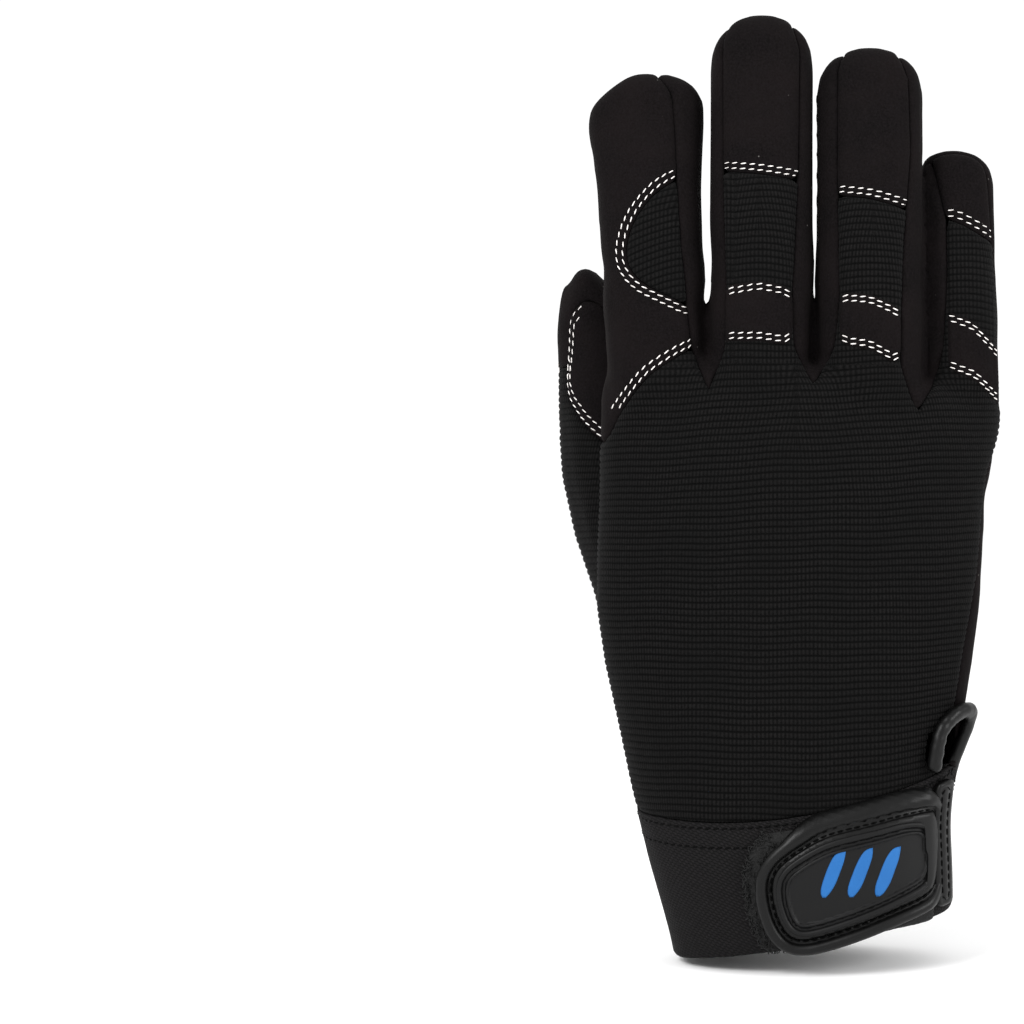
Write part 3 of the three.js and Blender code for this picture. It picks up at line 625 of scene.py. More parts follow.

# %% [markdown]
# ### Ribbed stretch knit
#
# The back is a weft-ribbed nylon knit. The ribs themselves are modelled. The finish adds
# the columns of short threads that cross each rib, each with a painted highlight on its
# crest, and painted shade in the grooves between ribs.
# It reads the piece's own map: one unit across is a thread column and one unit up is a rib.

# %% Make the knit
def knit_material():
    material, tree, shader = new_material("black ribbed nylon knit")
    weave = add(tree, "SeparateXYZ", {0: add(tree, "UVMap", uv_map="weave").outputs[0]})
    turn = add(tree, "Math", {0: weave.outputs[0], 1: 2 * math.pi}, operation="MULTIPLY")
    column = add(tree, "Math", {0: turn.outputs[0]}, operation="COSINE")
    rise = add(tree, "Math", {0: weave.outputs[1], 1: 2 * math.pi}, operation="MULTIPLY")
    groove = add(tree, "Math", {0: rise.outputs[0]}, operation="COSINE")
    place = add(tree, "TexCoord").outputs["Object"]
    fuzz = add(tree, "TexNoise", {"Vector": place, "Scale": per_mm(0.7), "Detail": 3.0, "Roughness": 0.7})
    broad = add(tree, "TexNoise", {"Vector": place, "Scale": per_mm(18), "Detail": 2.0})
    # Painted shade: the grooves between the modelled ribs are darkened to near black.
    groove_shade_share = add(tree, "MapRange", {"Value": groove.outputs[0], "From Min": 0.1, "From Max": 1.0})
    threads = add(tree, "MapRange", {"Value": column.outputs[0], "From Min": -1.0, "From Max": 1.0})
    # Painted highlight: each bumped thread column is lighter on its crest. The fuzz noise adds random tone on
    # top.
    crest_highlight = add(tree, "Math", {0: threads.outputs["Result"], 1: 0.6}, operation="MULTIPLY")
    worn = add(tree, "Math", {0: fuzz.outputs["Fac"], 1: 1.1, 2: -0.42}, operation="MULTIPLY_ADD")
    light = add(tree, "Math", {0: crest_highlight.outputs[0], 1: worn.outputs[0]}, operation="ADD", use_clamp=True)
    thread = add(tree, "Mix", {
        "Factor": light.outputs[0], "A": linear(0x010101), "B": linear(0x171616)}, data_type="RGBA")
    faded = add(tree, "MapRange", {
        "Value": broad.outputs["Fac"], "From Min": 0.4, "From Max": 0.7, "To Max": 0.5})
    soft = add(tree, "Mix", {
        "Factor": faded.outputs["Result"], "A": thread.outputs["Result"], "B": linear(0x090909)},
        data_type="RGBA")
    with_groove_shade = add(tree, "Mix", {
        "Factor": groove_shade_share.outputs["Result"], "A": soft.outputs["Result"], "B": linear(0x020202)},
        data_type="RGBA")
    tree.links.new(with_groove_shade.outputs["Result"], shader.inputs["Base Color"])
    height = add(tree, "Math", {0: threads.outputs["Result"], 1: 0.7, 2: fuzz.outputs["Fac"]},
                 operation="MULTIPLY_ADD")
    bump = add(tree, "Bump", {"Height": height.outputs[0], "Strength": 0.8, "Distance": 0.16 * MM})
    tree.links.new(bump.outputs["Normal"], shader.inputs["Normal"])
    shader.inputs["Roughness"].default_value = 0.85
    shader.inputs["Specular IOR Level"].default_value = 0.06
    shader.inputs["Sheen Weight"].default_value = 0.012
    return material


KNIT = knit_material()

# %% [markdown]
# ### Woven elastic, loop pile, moulded polyurethane, rubber and thread
#
# The cuff is a woven elastic whose fine cords show as staggered bricks. Each brick is painted
# lighter where it is raised, with painted shade between the bricks. The fastening pad is
# a brushed loop pile. The pull tab and the piping are satin moulded polyurethane, the badge
# a matt rubber, and the seams are sewn with a white polyester thread and a black one.

# %% Make the other finishes
def elastic_material():
    material, tree, shader = new_material("black woven elastic")
    weave = add(tree, "SeparateXYZ", {0: add(tree, "UVMap", uv_map="weave").outputs[0]})
    row = add(tree, "Math", {0: weave.outputs[1]}, operation="FLOOR")
    half = add(tree, "Math", {0: row.outputs[0], 1: 0.5}, operation="MULTIPLY")
    across = add(tree, "Math", {0: weave.outputs[0], 1: half.outputs[0]}, operation="ADD")
    sides = [add(tree, "Math", {0: add(tree, "Math", {0: part, 1: 2 * math.pi},
                                       operation="MULTIPLY").outputs[0]}, operation="COSINE")
             for part in (across.outputs[0], weave.outputs[1])]
    bricks = add(tree, "Math", {0: sides[0].outputs[0], 1: sides[1].outputs[0]}, operation="ADD")
    place = add(tree, "TexCoord").outputs["Object"]
    fuzz = add(tree, "TexNoise", {"Vector": place, "Scale": per_mm(0.5), "Detail": 3.0})
    raised = add(tree, "MapRange", {"Value": bricks.outputs[0], "From Min": 1.6, "From Max": -1.0})
    # Painted highlight and shade: each raised brick is lighter, scaled by random fuzz, and the low cords
    # between bricks are darker.
    tone = add(tree, "Math", {0: raised.outputs["Result"], 1: fuzz.outputs["Fac"]}, operation="MULTIPLY")
    colour = add(tree, "Mix", {
        "Factor": tone.outputs[0], "A": linear(0x020202), "B": linear(0x201e1f)}, data_type="RGBA")
    tree.links.new(colour.outputs["Result"], shader.inputs["Base Color"])
    bump = add(tree, "Bump", {"Height": raised.outputs["Result"], "Strength": 0.7, "Distance": 0.14 * MM})
    tree.links.new(bump.outputs["Normal"], shader.inputs["Normal"])
    shader.inputs["Roughness"].default_value = 0.8
    shader.inputs["Specular IOR Level"].default_value = 0.1
    return material


def loop_material():
    material, tree, shader = new_material("black loop pile")
    place = add(tree, "TexCoord").outputs["Object"]
    curls = add(tree, "TexNoise", {"Vector": place, "Scale": per_mm(0.6), "Detail": 3.0})
    colour = add(tree, "Mix", {
        "Factor": curls.outputs["Fac"], "A": linear(0x050505), "B": linear(0x222222)}, data_type="RGBA")
    tree.links.new(colour.outputs["Result"], shader.inputs["Base Color"])
    bump = add(tree, "Bump", {"Height": curls.outputs["Fac"], "Strength": 0.8, "Distance": 0.3 * MM})
    tree.links.new(bump.outputs["Normal"], shader.inputs["Normal"])
    shader.inputs["Roughness"].default_value = 0.7
    shader.inputs["Specular IOR Level"].default_value = 0.15
    shader.inputs["Sheen Weight"].default_value = 0.03
    return material


def moulded_material(name, colour, lighter, roughness, grain):
    material, tree, shader = new_material(name)
    place = add(tree, "TexCoord").outputs["Object"]
    pores = add(tree, "TexNoise", {"Vector": place, "Scale": per_mm(grain), "Detail": 4.0})
    cloud = add(tree, "TexNoise", {"Vector": place, "Scale": per_mm(9), "Detail": 2.0})
    tone = add(tree, "Mix", {
        "Factor": cloud.outputs["Fac"], "A": linear(colour), "B": linear(lighter)}, data_type="RGBA")
    tree.links.new(tone.outputs["Result"], shader.inputs["Base Color"])
    sheen = add(tree, "MapRange", {
        "Value": cloud.outputs["Fac"], "To Min": roughness - 0.05, "To Max": roughness + 0.07})
    tree.links.new(sheen.outputs["Result"], shader.inputs["Roughness"])
    bump = add(tree, "Bump", {"Height": pores.outputs["Fac"], "Strength": 0.35, "Distance": 0.06 * MM})
    tree.links.new(bump.outputs["Normal"], shader.inputs["Normal"])
    shader.inputs["Specular IOR Level"].default_value = 0.2
    return material


def thread_material(name, dark, light, gloss):
    material, tree, shader = new_material(name)
    place = add(tree, "TexCoord").outputs["Object"]
    twist = add(tree, "TexWave", {"Vector": place, "Scale": per_mm(2.2), "Distortion": 1.5},
                bands_direction="DIAGONAL")
    colour = add(tree, "Mix", {
        "Factor": twist.outputs["Fac"], "A": linear(dark), "B": linear(light)}, data_type="RGBA")
    tree.links.new(colour.outputs["Result"], shader.inputs["Base Color"])
    shader.inputs["Roughness"].default_value = 0.55
    shader.inputs["Specular IOR Level"].default_value = gloss
    return material


ELASTIC = elastic_material()
LOOP = loop_material()
MOULDED = moulded_material("black satin polyurethane", 0x030303, 0x070707, 0.38, 0.35)
RUBBER = moulded_material("black matt rubber", 0x030303, 0x060607, 0.46, 0.25)
BLUE_RUBBER = moulded_material("blue inlaid rubber", 0x195490, 0x22619f, 0.55, 0.3)
WHITE_THREAD = thread_material("white polyester thread", 0xcfcac6, 0xf6f2ef, 0.3)
BLACK_THREAD = thread_material("black polyester thread", 0x010101, 0x040404, 0.05)


def finish_piece(obj, material, slot, *nodes):
    """Dress a piece, hang it from the body it rides on, and hide the CAD nodes it stands for."""
    obj.data.materials.clear()
    obj.data.materials.append(material)
    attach(obj, ROOT)
    if nodes:
        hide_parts(*nodes)


# %% [markdown]
# ## The suede panels
#
# Each suede panel is cut from the skin along its seams. A sewn edge is drawn down by its
# thread, so the surface rolls over towards the seam. The side walls of the fingers stand
# proud of their seams as soft ridges, because they are sewn inside out and turned.

# %% Sew the suede panels
SUEDE_WALL = 1.3 * MM
SEAM_DEPTH = 0.8 * MM
SEAM_WIDTH = 0.75 * MM
ROLL_LEVELS = np.array([0.28, 0.7, 1.3, 2.2]) * MM
RIDGE = 0.3 * MM              # how far a finger's side wall stands proud
PUFF = 0.12 * MM
LIFT = 1.9 * MM               # a skin point further than this from a panel isn't on it

panels = {}


def panel_field(nodes):
    """Where a panel is: positive on it, and zero halfway to its neighbours."""
    own = np.min([distance[n] for n in nodes], axis=0)
    between = others_distance(nodes) - own
    return between, np.minimum(between, 2 * (LIFT - SKIN_STEP * 0.6 - own))


def sew_suede(name, *nodes):
    edge, field = panel_field(nodes)
    extra = {"edge": edge, **{n: distance[n] for n in SEEN_NODES}}
    faces, arrays, edges = cut_out(field - SEAM_GAP, extra)
    faces, arrays, chosen = thick(faces, arrays, edges, SUEDE_WALL)
    faces, chosen, birth = part_faces(arrays["field"], faces, ROLL_LEVELS, chosen)
    arrays = {key: carried(values, birth) for key, values in arrays.items()}
    inside = np.maximum(arrays["field"], 0)
    height = -SEAM_DEPTH * np.exp(-inside / SEAM_WIDTH)
    proud = RIDGE if "fourchette" in name else PUFF
    height += proud * (1 - np.exp(-inside / (1.6 * MM)))
    arrays["points"] = arrays["points"] + arrays["normals"] * (height * (arrays["outside"] > 0.5))[:, None]
    panels[name] = (faces, arrays, chosen)
    made = object_from(name, arrays["points"], faces)
    finish_piece(made, SUEDE, "suede", *nodes)
    print(name, len(faces), "faces")
    return made


sew_suede("suede_palm", "palm_panel")
for node in BASE_NODES:
    if node not in ("palm_panel", "back_panel", "index_knit_window"):
        sew_suede(node + "_suede", node)

# %% [markdown]
# ## The ribbed knit
#
# The ribs show even in the outline of the thumb, so they are real. The knit panel is cut
# from the same skin and sliced along every quarter of a rib. Then each slice is raised by the
# rib's round profile. The ribs lie level round the hand, and dip a little at the wrist.

# %% Knit the back
RIB = 1.72 * MM
RIB_SLICES = 4
RIB_HEIGHT = 0.34 * MM
COLUMN = 1.02 * MM
KNIT_WALL = 1.2 * MM
FINGER_AXES = [(-27, -8.5), (-13.8, -13), (14.6, -12.5), (37.5, 1)]
KNUCKLE_HEIGHT = 146 * MM
HAND_TOP = (-5, -18)


def rib_share(points):
    """Height counted in ribs. Near the wrist the ribs rise towards the little finger."""
    low = 1 - smoothstep(38 * MM, 92 * MM, points[:, 2])
    x, z = points[:, 0], points[:, 2]
    side = np.clip((x - 2 * MM) / (30 * MM), 0, 1.4)
    slope = 0.05 * (x + 5 * MM) * smoothstep(75 * MM, 120 * MM, z) * (1 - smoothstep(138 * MM, 156 * MM, z))
    slope *= points[:, 1] < 6 * MM
    centre = np.array([c for c, _ in FINGER_AXES]) * MM
    away = np.min(np.abs(x[:, None] - centre), axis=1)
    arch = 0.9 * MM * (away / (9 * MM)) ** 2 * smoothstep(146 * MM, 160 * MM, z)
    wave = 0.16 * MM * np.sin(x / (7 * MM) + z / (19 * MM))
    wave += 0.12 * MM * np.sin(x / (3.1 * MM) - z / (11 * MM))
    return (z - 3.4 * MM * low * side ** 2 - slope + arch + wave) / RIB


def column_share(points):
    """The way round the hand or the finger, counted in thread columns."""
    x, y, z = points[:, 0], points[:, 1], points[:, 2]
    middle = np.full(len(points), HAND_TOP[0] * MM)
    top = np.full(len(points), HAND_TOP[1] * MM)
    high = z > KNUCKLE_HEIGHT
    nearest = np.argmin([np.abs(x - c * MM) for c, _ in FINGER_AXES], axis=0)
    for k, (centre, front) in enumerate(FINGER_AXES):
        own = high & (nearest == k)
        middle[own] = centre * MM
        top[own] = front * MM
    return (x - middle + np.sign(x - middle) * np.maximum(y - top, 0)) / COLUMN


def knit_panel(name, *nodes):
    edge, field = panel_field(nodes)
    extra = {"edge": edge, **{n: distance[n] for n in SEEN_NODES}}
    faces, arrays, edges = cut_out(field - SEAM_GAP, extra)
    faces, arrays, chosen = thick(faces, arrays, edges, KNIT_WALL)
    faces, chosen, birth = part_faces(arrays["field"], faces, ROLL_LEVELS[:2], chosen)
    arrays = {key: carried(values, birth) for key, values in arrays.items()}
    slices = rib_share(arrays["points"]) * RIB_SLICES
    levels = np.arange(math.floor(slices.min()), math.ceil(slices.max()) + 1)
    faces, chosen, birth = part_faces(slices, faces, levels, chosen)
    arrays = {key: carried(values, birth) for key, values in arrays.items()}
    ribs = carried(slices, birth) / RIB_SLICES
    within = np.abs(2 * (ribs - np.floor(ribs)) - 1)
    inside = np.maximum(arrays["field"], 0)
    held = 1 - 0.6 * np.exp(-inside / SEAM_WIDTH)
    height = RIB_HEIGHT * (1 - within ** 2.4) * held - SEAM_DEPTH * np.exp(-inside / SEAM_WIDTH)
    uv = np.stack([column_share(arrays["points"]), ribs], axis=1)
    arrays["points"] = arrays["points"] + arrays["normals"] * (height * (arrays["outside"] > 0.5))[:, None]
    panels[name] = (faces, arrays, chosen)
    made = object_from(name, arrays["points"], faces, uv)
    finish_piece(made, KNIT, "rib_knit", *nodes)
    print(name, len(faces), "faces")
    return made


knit_panel("knit_back", "back_panel")
knit_panel("knit_window", "index_knit_window")

# %% [markdown]
# ## The elastic cuff
#
# The wrist is closed by a wide woven elastic, folded double at its mouth. It comes from the
# same skin and is cut off at its lower edge, whose height is measured round the CAD cuff.
# The edge is drawn in, as a fold is. The weave is counted round the wrist and upwards.

# %% Weave the cuff
CORD = 1.1 * MM
CORD_ROW = 0.75 * MM
CUFF_WALL = 1.7 * MM
RIM_PARTS = 60
LIP_LEVELS = np.array([0.2, 0.5, 0.9, 1.6]) * MM

edge, field = panel_field(["cuff_band"])
corners = points_of(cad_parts["cuff_band"])
corner_turn = np.arctan2(corners[:, 1] * 1.5, corners[:, 0])
rim = []
for k in range(RIM_PARTS):
    turn = (k + 0.5) / RIM_PARTS * 2 * math.pi - math.pi
    near = np.abs((corner_turn - turn + math.pi) % (2 * math.pi) - math.pi) < 2.2 * math.pi / RIM_PARTS
    rim.append(corners[near, 2].min())
rim = np.array(rim)
for _ in range(2):
    rim = (np.roll(rim, 1) + 2 * rim + np.roll(rim, -1)) / 4
skin_turn = np.arctan2(skin_points[:, 1] * 1.5, skin_points[:, 0])
middles = (np.arange(RIM_PARTS) + 0.5) / RIM_PARTS * 2 * math.pi - math.pi
rim_height = np.interp(skin_turn, middles, rim, period=2 * math.pi)
above_rim = skin_points[:, 2] - rim_height
field = np.minimum(field, above_rim)
faces, arrays, edges = cut_out(field - SEAM_GAP, {"lip": above_rim, **{n: distance[n] for n in SEEN_NODES}})
faces, arrays, chosen = thick(faces, arrays, edges, CUFF_WALL)
faces, chosen, birth = part_faces(arrays["lip"], faces, LIP_LEVELS, chosen)
arrays = {key: carried(values, birth) for key, values in arrays.items()}
inside = np.maximum(arrays["lip"], 0)
height = -0.75 * MM * np.exp(-inside / (0.55 * MM)) * (arrays["outside"] > 0.5)
arrays["points"] = arrays["points"] + arrays["normals"] * height[:, None]
panels["woven_cuff"] = (faces, arrays, chosen)
turn = np.arctan2(arrays["points"][:, 1] * 1.5, arrays["points"][:, 0])
lean = arrays["points"][:, 2] + 0.35 * arrays["points"][:, 0]
cuff = object_from("woven_cuff", arrays["points"], faces,
                   np.stack([turn * 31 * MM / CORD, lean / CORD_ROW], axis=1))
finish_piece(cuff, ELASTIC, "elastic", "cuff_band")
print("woven_cuff", len(faces), "faces")

# %% [markdown]
# ## Pieces laid on the skin
#
# Strips, pads, the tab and its badge are flat cuts laid on the glove. Each takes its outline
# from the silhouette of its CAD solid, seen from the back or from the palm. Its face is cut
# out of the skin along that outline, sliced at chosen distances from the edge, and raised by
# a profile over those distances. So a rolled rim, a groove and a border follow the outline.

# %% Lay pieces by their outlines
BACK, PALM = -1, 1


def rounded(loop, rounds=2, closed=True):
    """Cut the corners of a line again and again."""
    loop = np.asarray(loop, float)
    for _ in range(rounds):
        a, b = (loop, np.roll(loop, -1, axis=0)) if closed else (loop[:-1], loop[1:])
        middle = np.stack([a * 0.75 + b * 0.25, a * 0.25 + b * 0.75], 1).reshape(-1, 2)
        loop = middle if closed else np.concatenate([loop[:1], middle, loop[-1:]])
    return loop


def outline_of(node, facing):
    """The silhouette of a CAD node along Y, as a closed line of x and z."""
    merged = copy_of_nodes([node], "outline")
    sides = {}
    for face in merged.data.polygons:
        for key in face.edge_keys:
            sides.setdefault(key, []).append(face.normal.y * facing > 0.2)
    left = {}
    for (a, b), seen in sides.items():
        if len(seen) == 2 and seen[0] != seen[1]:
            left.setdefault(a, set()).add(b)
            left.setdefault(b, set()).add(a)
    flat = points_of(merged)[:, [0, 2]]
    delete(merged)
    best, best_area = None, 0
    while left:
        loop = [min(left)]
        while left[loop[-1]]:
            step = left[loop[-1]].pop()
            left[step].discard(loop[-1])
            loop.append(step)
        left = {p: near for p, near in left.items() if near}
        x, z = flat[loop].T
        area = abs((x * np.roll(z, -1) - z * np.roll(x, -1)).sum()) / 2
        if area > best_area:
            best, best_area = flat[loop[:-1]], area
    return rounded(best)


def signed_distance(points, outline):
    """How far each point is inside the outline, negative outside."""
    away = np.full(len(points), np.inf)
    inside = np.zeros(len(points), bool)
    for a, b in zip(outline, np.roll(outline, -1, axis=0)):
        along = b - a
        share = np.clip(((points - a) @ along) / max(along @ along, 1e-18), 0, 1)
        away = np.minimum(away, np.linalg.norm(points - a - share[:, None] * along, axis=1))
        if a[1] != b[1]:
            crossing = a[0] + (points[:, 1] - a[1]) * along[0] / along[1]
            inside ^= ((a[1] > points[:, 1]) != (b[1] > points[:, 1])) & (points[:, 0] < crossing)
    return np.where(inside, away, -away)


def outline_field(outline, facing, node, surface):
    points, normals, _ = surface
    low, high = (np.array(corner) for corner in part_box(node))
    near = np.all((points > low - 4 * MM) & (points < high + 4 * MM), axis=1)
    near &= normals[:, 1] * facing > 0.02
    flat = points[:, [0, 2]]
    field = np.full(len(points), -3 * MM)
    field[near] = signed_distance(flat[near], outline)
    return field


def lay(name, outline, facing, under, levels, profile, material, slot, *nodes,
        near="tab_badge", surface=None, clear_of=None):
    """A piece on the skin: its underside lies at the height under, its face at profile(inside)."""
    surface = surface or (skin_points, skin_normals, skin_quads)
    field = outline_field(outline, facing, nodes[0] if nodes else near, surface)
    if clear_of:
        field = np.minimum(field, distance[clear_of] - 1 * MM)
    faces, arrays, edges = cut_out(field, {}, surface)
    faces, arrays, chosen = thick(faces, arrays, edges, -under)
    faces, chosen, birth = part_faces(arrays["field"], faces, np.array(levels) * MM, chosen)
    arrays = {key: carried(values, birth) for key, values in arrays.items()}
    inside = np.maximum(arrays["field"], 0) / MM
    height = profile(inside, arrays["points"]) * MM
    arrays["points"] = arrays["points"] + arrays["normals"] * (height * (arrays["outside"] > 0.5))[:, None]
    panels[name] = (faces, arrays, chosen)
    made = object_from(name, arrays["points"], faces)
    finish_piece(made, material, slot, *nodes)
    print(name, len(faces), "faces")
    return made


def steps(inside, *pairs):
    """A height that goes evenly between (distance inside, height) pairs, in mm."""
    return np.interp(inside, [p[0] for p in pairs], [p[1] for p in pairs])


def roll(inside, start, end, low, high):
    """A half-round ridge between two distances."""
    share = np.clip((inside - (start + end) / 2) / ((end - start) / 2), -1, 1)
    return low + (high - low) * np.sqrt(np.maximum(1 - share ** 2, 0))


# %% [markdown]
# ## Knuckle strips
#
# A narrow strip of the same suede crosses each finger just over its knuckle and keeps the
# knit from wearing. Its ends run into the finger's side walls. Its upper and lower edges
# are turned in, so they are rounder than a cut edge.

# %% Lay the knuckle strips
def strip_profile(inside, points):
    return 0.15 + 0.85 * (1 - np.exp(-inside / 0.55)) - 0.22 * np.exp(-((inside - 2.0) / 0.7) ** 2)


for finger in ("middle", "ring", "little"):
    node = finger + "_knuckle_strip"
    lay(node + "_suede", outline_of(node, BACK), BACK, 0.02 * MM,
        (0.15, 0.4, 0.8, 1.3, 1.7, 2.1, 2.5, 3.0), strip_profile, SUEDE, "suede", node)

# %% [markdown]
# ## Palm pads
#
# Three foam pads sit under patches of suede on the palm. Each patch lies flat along its sewn
# border and rises inside the second row of stitches. The rise is blown up by a cloth
# simulation: the border is pinned, and air pressure fills the rest until the suede is taut.

# %% Lay the pads and fill them
PAD_BORDER = 3.7
PAD_RISE = 1.9
PAD_CAP = 0.9 * MM
PAD_FRAMES = 20


def pad_profile(inside, points):
    sewn = 0.35 * np.exp(-((inside - 1.4) / 0.5) ** 2) + 0.45 * np.exp(-((inside - 3.1) / 0.6) ** 2)
    rise = PAD_RISE * (1 - np.exp(-np.maximum(inside - PAD_BORDER, 0) / 1.7))
    return 0.1 + 0.9 * (1 - np.exp(-inside / 0.4)) - sewn + rise


def fill(obj, name):
    """Blow the pad up from inside, and hold its border."""
    faces, arrays, chosen = panels[name]
    free = (arrays["outside"] > 0.5) & (arrays["field"] > PAD_BORDER * MM)
    group = obj.vertex_groups.new(name="sewn")
    group.add([int(p) for p in np.flatnonzero(~free)], 1, "REPLACE")
    before = points_of(obj)
    cloth = obj.modifiers.new("fill", "CLOTH")
    cloth.settings.vertex_group_mass = "sewn"
    cloth.settings.use_pressure = True
    cloth.settings.uniform_pressure_force = 4
    cloth.settings.effector_weights.gravity = 0
    cloth.settings.quality = 4
    cloth.settings.tension_stiffness = 8
    cloth.point_cache.frame_start = 1
    cloth.point_cache.frame_end = PAD_FRAMES
    for number in range(1, PAD_FRAMES + 1):
        bpy.context.scene.frame_set(number)
    settled = obj.evaluated_get(bpy.context.evaluated_depsgraph_get()).to_mesh()
    after = np.empty(len(before) * 3)
    settled.vertices.foreach_get("co", after)
    moved = after.reshape(-1, 3) - before
    reach = np.linalg.norm(moved, axis=1, keepdims=True)
    capped = moved * np.minimum(1, PAD_CAP / np.maximum(reach, 1e-9))
    obj.modifiers.remove(cloth)
    obj.vertex_groups.remove(group)
    bpy.context.scene.frame_set(1)
    arrays["points"] = before + capped * free[:, None]
    obj.data.vertices.foreach_set("co", arrays["points"].ravel())
    obj.data.update()
    print(name, "moved at most", round(float(reach[free].max()) / MM, 2), "mm, capped to", PAD_CAP / MM)


for node in ("knuckle_pad", "heel_pad", "thumb_base_pad"):
    pad = lay(node + "_suede", outline_of(node, PALM), PALM, 0.02 * MM,
              (0.15, 0.5, 1.0, 1.4, 1.8, 2.4, 3.1, 3.7, 4.3, 5.2, 6.5), pad_profile, SUEDE, "suede", node,
              clear_of="thumb_front" if node == "knuckle_pad" else None)
    fill(pad, node + "_suede")

# %% [markdown]
# ## The fastening: loop pad, pull tab, badge and anchor strip
#
# The tab is moulded in one piece: a rolled rim, a sewn groove and a raised middle. It lies
# on the loop pad, whose brushed loops show round its left and upper edge. The badge has a
# double border. What is inside it is only a pattern of three slanting bars. The anchor strip
# folds over the tab's fixed end.

# %% Lay the fastening
def loop_profile(inside, points):
    """A low slab with a restless top."""
    rough = np.sin(points[:, 0] * 3100) * np.sin(points[:, 2] * 2700 + points[:, 0] * 900)
    return 0.5 + 0.8 * (1 - np.exp(-inside / 0.4)) + 0.13 * rough


def held_down(points):
    """The tab thins out where it runs under the anchor strip."""
    return 1 - 0.62 * smoothstep(27 * MM, 33 * MM, points[:, 0])


def tab_profile(inside, points):
    rim = roll(inside, -0.2, 3.1, 2.0, 3.9)
    middle = steps(inside, (3.1, 2.0), (3.3, 2.1), (3.9, 2.1), (4.3, 2.9), (5.0, 3.1))
    return np.where(inside < 3.1, rim, middle) * held_down(points)


def badge_profile(inside, points):
    outer = roll(inside, -0.3, 1.5, 3.2, 4.3)
    inner = roll(inside, 2.2, 3.2, 3.35, 4.1)
    flat = np.where(inside < 2.2, 3.3, np.where(inside < 3.2, inner, 3.45))
    return np.where(inside < 1.5, outer, flat) * held_down(points)


def anchor_profile(inside, points):
    return 1.7 + 0.7 * (1 - np.exp(-inside / 0.45)) - 0.25 * np.exp(-((inside - 1.3) / 0.35) ** 2)


# The tab hangs a little lower than the cuff, so these pieces lie on a surface that goes on
# where the cuff's front ends. It is measured on the cuff, row by row from the top.
turns = np.arange(-0.62, 1.2, 0.022)
heights = np.arange(43, -9, -0.8) * MM
front = np.empty((len(heights), len(turns), 3))
for i, z in enumerate(heights):
    for j, t in enumerate(turns):
        x = 37.5 * MM * math.sin(t)
        hit = cuff_tree.ray_cast(Vector((x, -0.1, z)), Vector((0, 1, 0)))[0]
        if hit is not None and hit.y < -3 * MM:
            front[i, j] = x, hit.y, z
        else:
            front[i, j] = x, front[i - 1, j, 1] if i else -3 * MM, z
for _ in range(16):
    level = front[:, :, 1]
    level[1:-1, 1:-1] = (level[:-2, 1:-1] + level[2:, 1:-1] + level[1:-1, :-2] + level[1:-1, 2:]) / 4
spot = np.arange(front[:, :, 0].size).reshape(front.shape[:2])
front_quads = np.stack([spot[:-1, :-1], spot[1:, :-1], spot[1:, 1:], spot[:-1, 1:]], axis=-1).reshape(-1, 4)
front_points = front.reshape(-1, 3)
FRONT = (front_points, normals_of(front_points, front_quads), front_quads)


def drawn_right(outline, reach):
    """Lengthen the fixed end, which is hidden under the anchor strip."""
    outline = outline.copy()
    outline[:, 0] += reach * smoothstep(20 * MM, 28 * MM, outline[:, 0])
    return outline


def eased(outline, rounds):
    """Resample a closed line evenly and average it, so that its corners become round."""
    closed = np.concatenate([outline, outline[:1]])
    length = np.concatenate([[0], np.cumsum(np.linalg.norm(np.diff(closed, axis=0), axis=1))])
    at = np.linspace(0, length[-1], int(length[-1] / (0.8 * MM)), endpoint=False)
    line = np.stack([np.interp(at, length, closed[:, axis]) for axis in range(2)], axis=1)
    for _ in range(rounds):
        line = (np.roll(line, 1, axis=0) + 2 * line + np.roll(line, -1, axis=0)) / 4
    return line


LOOP_OUTLINE = drawn_right(outline_of("loop_pad", BACK), 3 * MM)
LOOP_OUTLINE[:, 1] += 1.7 * MM * smoothstep(14 * MM, 24 * MM, LOOP_OUTLINE[:, 1])
TAB_OUTLINE = eased(drawn_right(outline_of("closure_tab", BACK), 3 * MM), 24)
BADGE_OUTLINE = eased(drawn_right(outline_of("tab_badge", BACK), 4.5 * MM), 16)
lay("loop_fabric_pad", LOOP_OUTLINE, BACK, 0.02 * MM, (0.2, 0.6, 1.2), loop_profile,
    LOOP, "loop_fabric", "loop_pad",
    surface=FRONT)
lay("pull_tab", TAB_OUTLINE, BACK, 1.2 * MM,
    (0.1, 0.35, 0.7, 1.1, 1.5, 1.9, 2.3, 2.6, 2.85, 3.1, 3.3, 3.9, 4.1, 4.3, 5.0),
    tab_profile, MOULDED, "moulded_tab", "closure_tab", surface=FRONT)
lay("badge", BADGE_OUTLINE, BACK, 2.0 * MM,
    (0.1, 0.3, 0.6, 0.9, 1.2, 1.4, 1.5, 2.2, 2.4, 2.7, 3.0, 3.2),
    badge_profile, RUBBER, "badge_rubber", "tab_badge",
    surface=FRONT)
ANCHOR_OUTLINE = outline_of("tab_anchor", BACK) - (3.0 * MM, 0)
ANCHOR_OUTLINE[:, 1] -= 4 * MM * smoothstep(24 * MM, 8 * MM, ANCHOR_OUTLINE[:, 1])
lay("anchor_strip", ANCHOR_OUTLINE, BACK, 0.4 * MM,
    (0.15, 0.4, 0.8, 1.1, 1.3, 1.5, 1.8), anchor_profile, MOULDED, "moulded_tab", "tab_anchor")
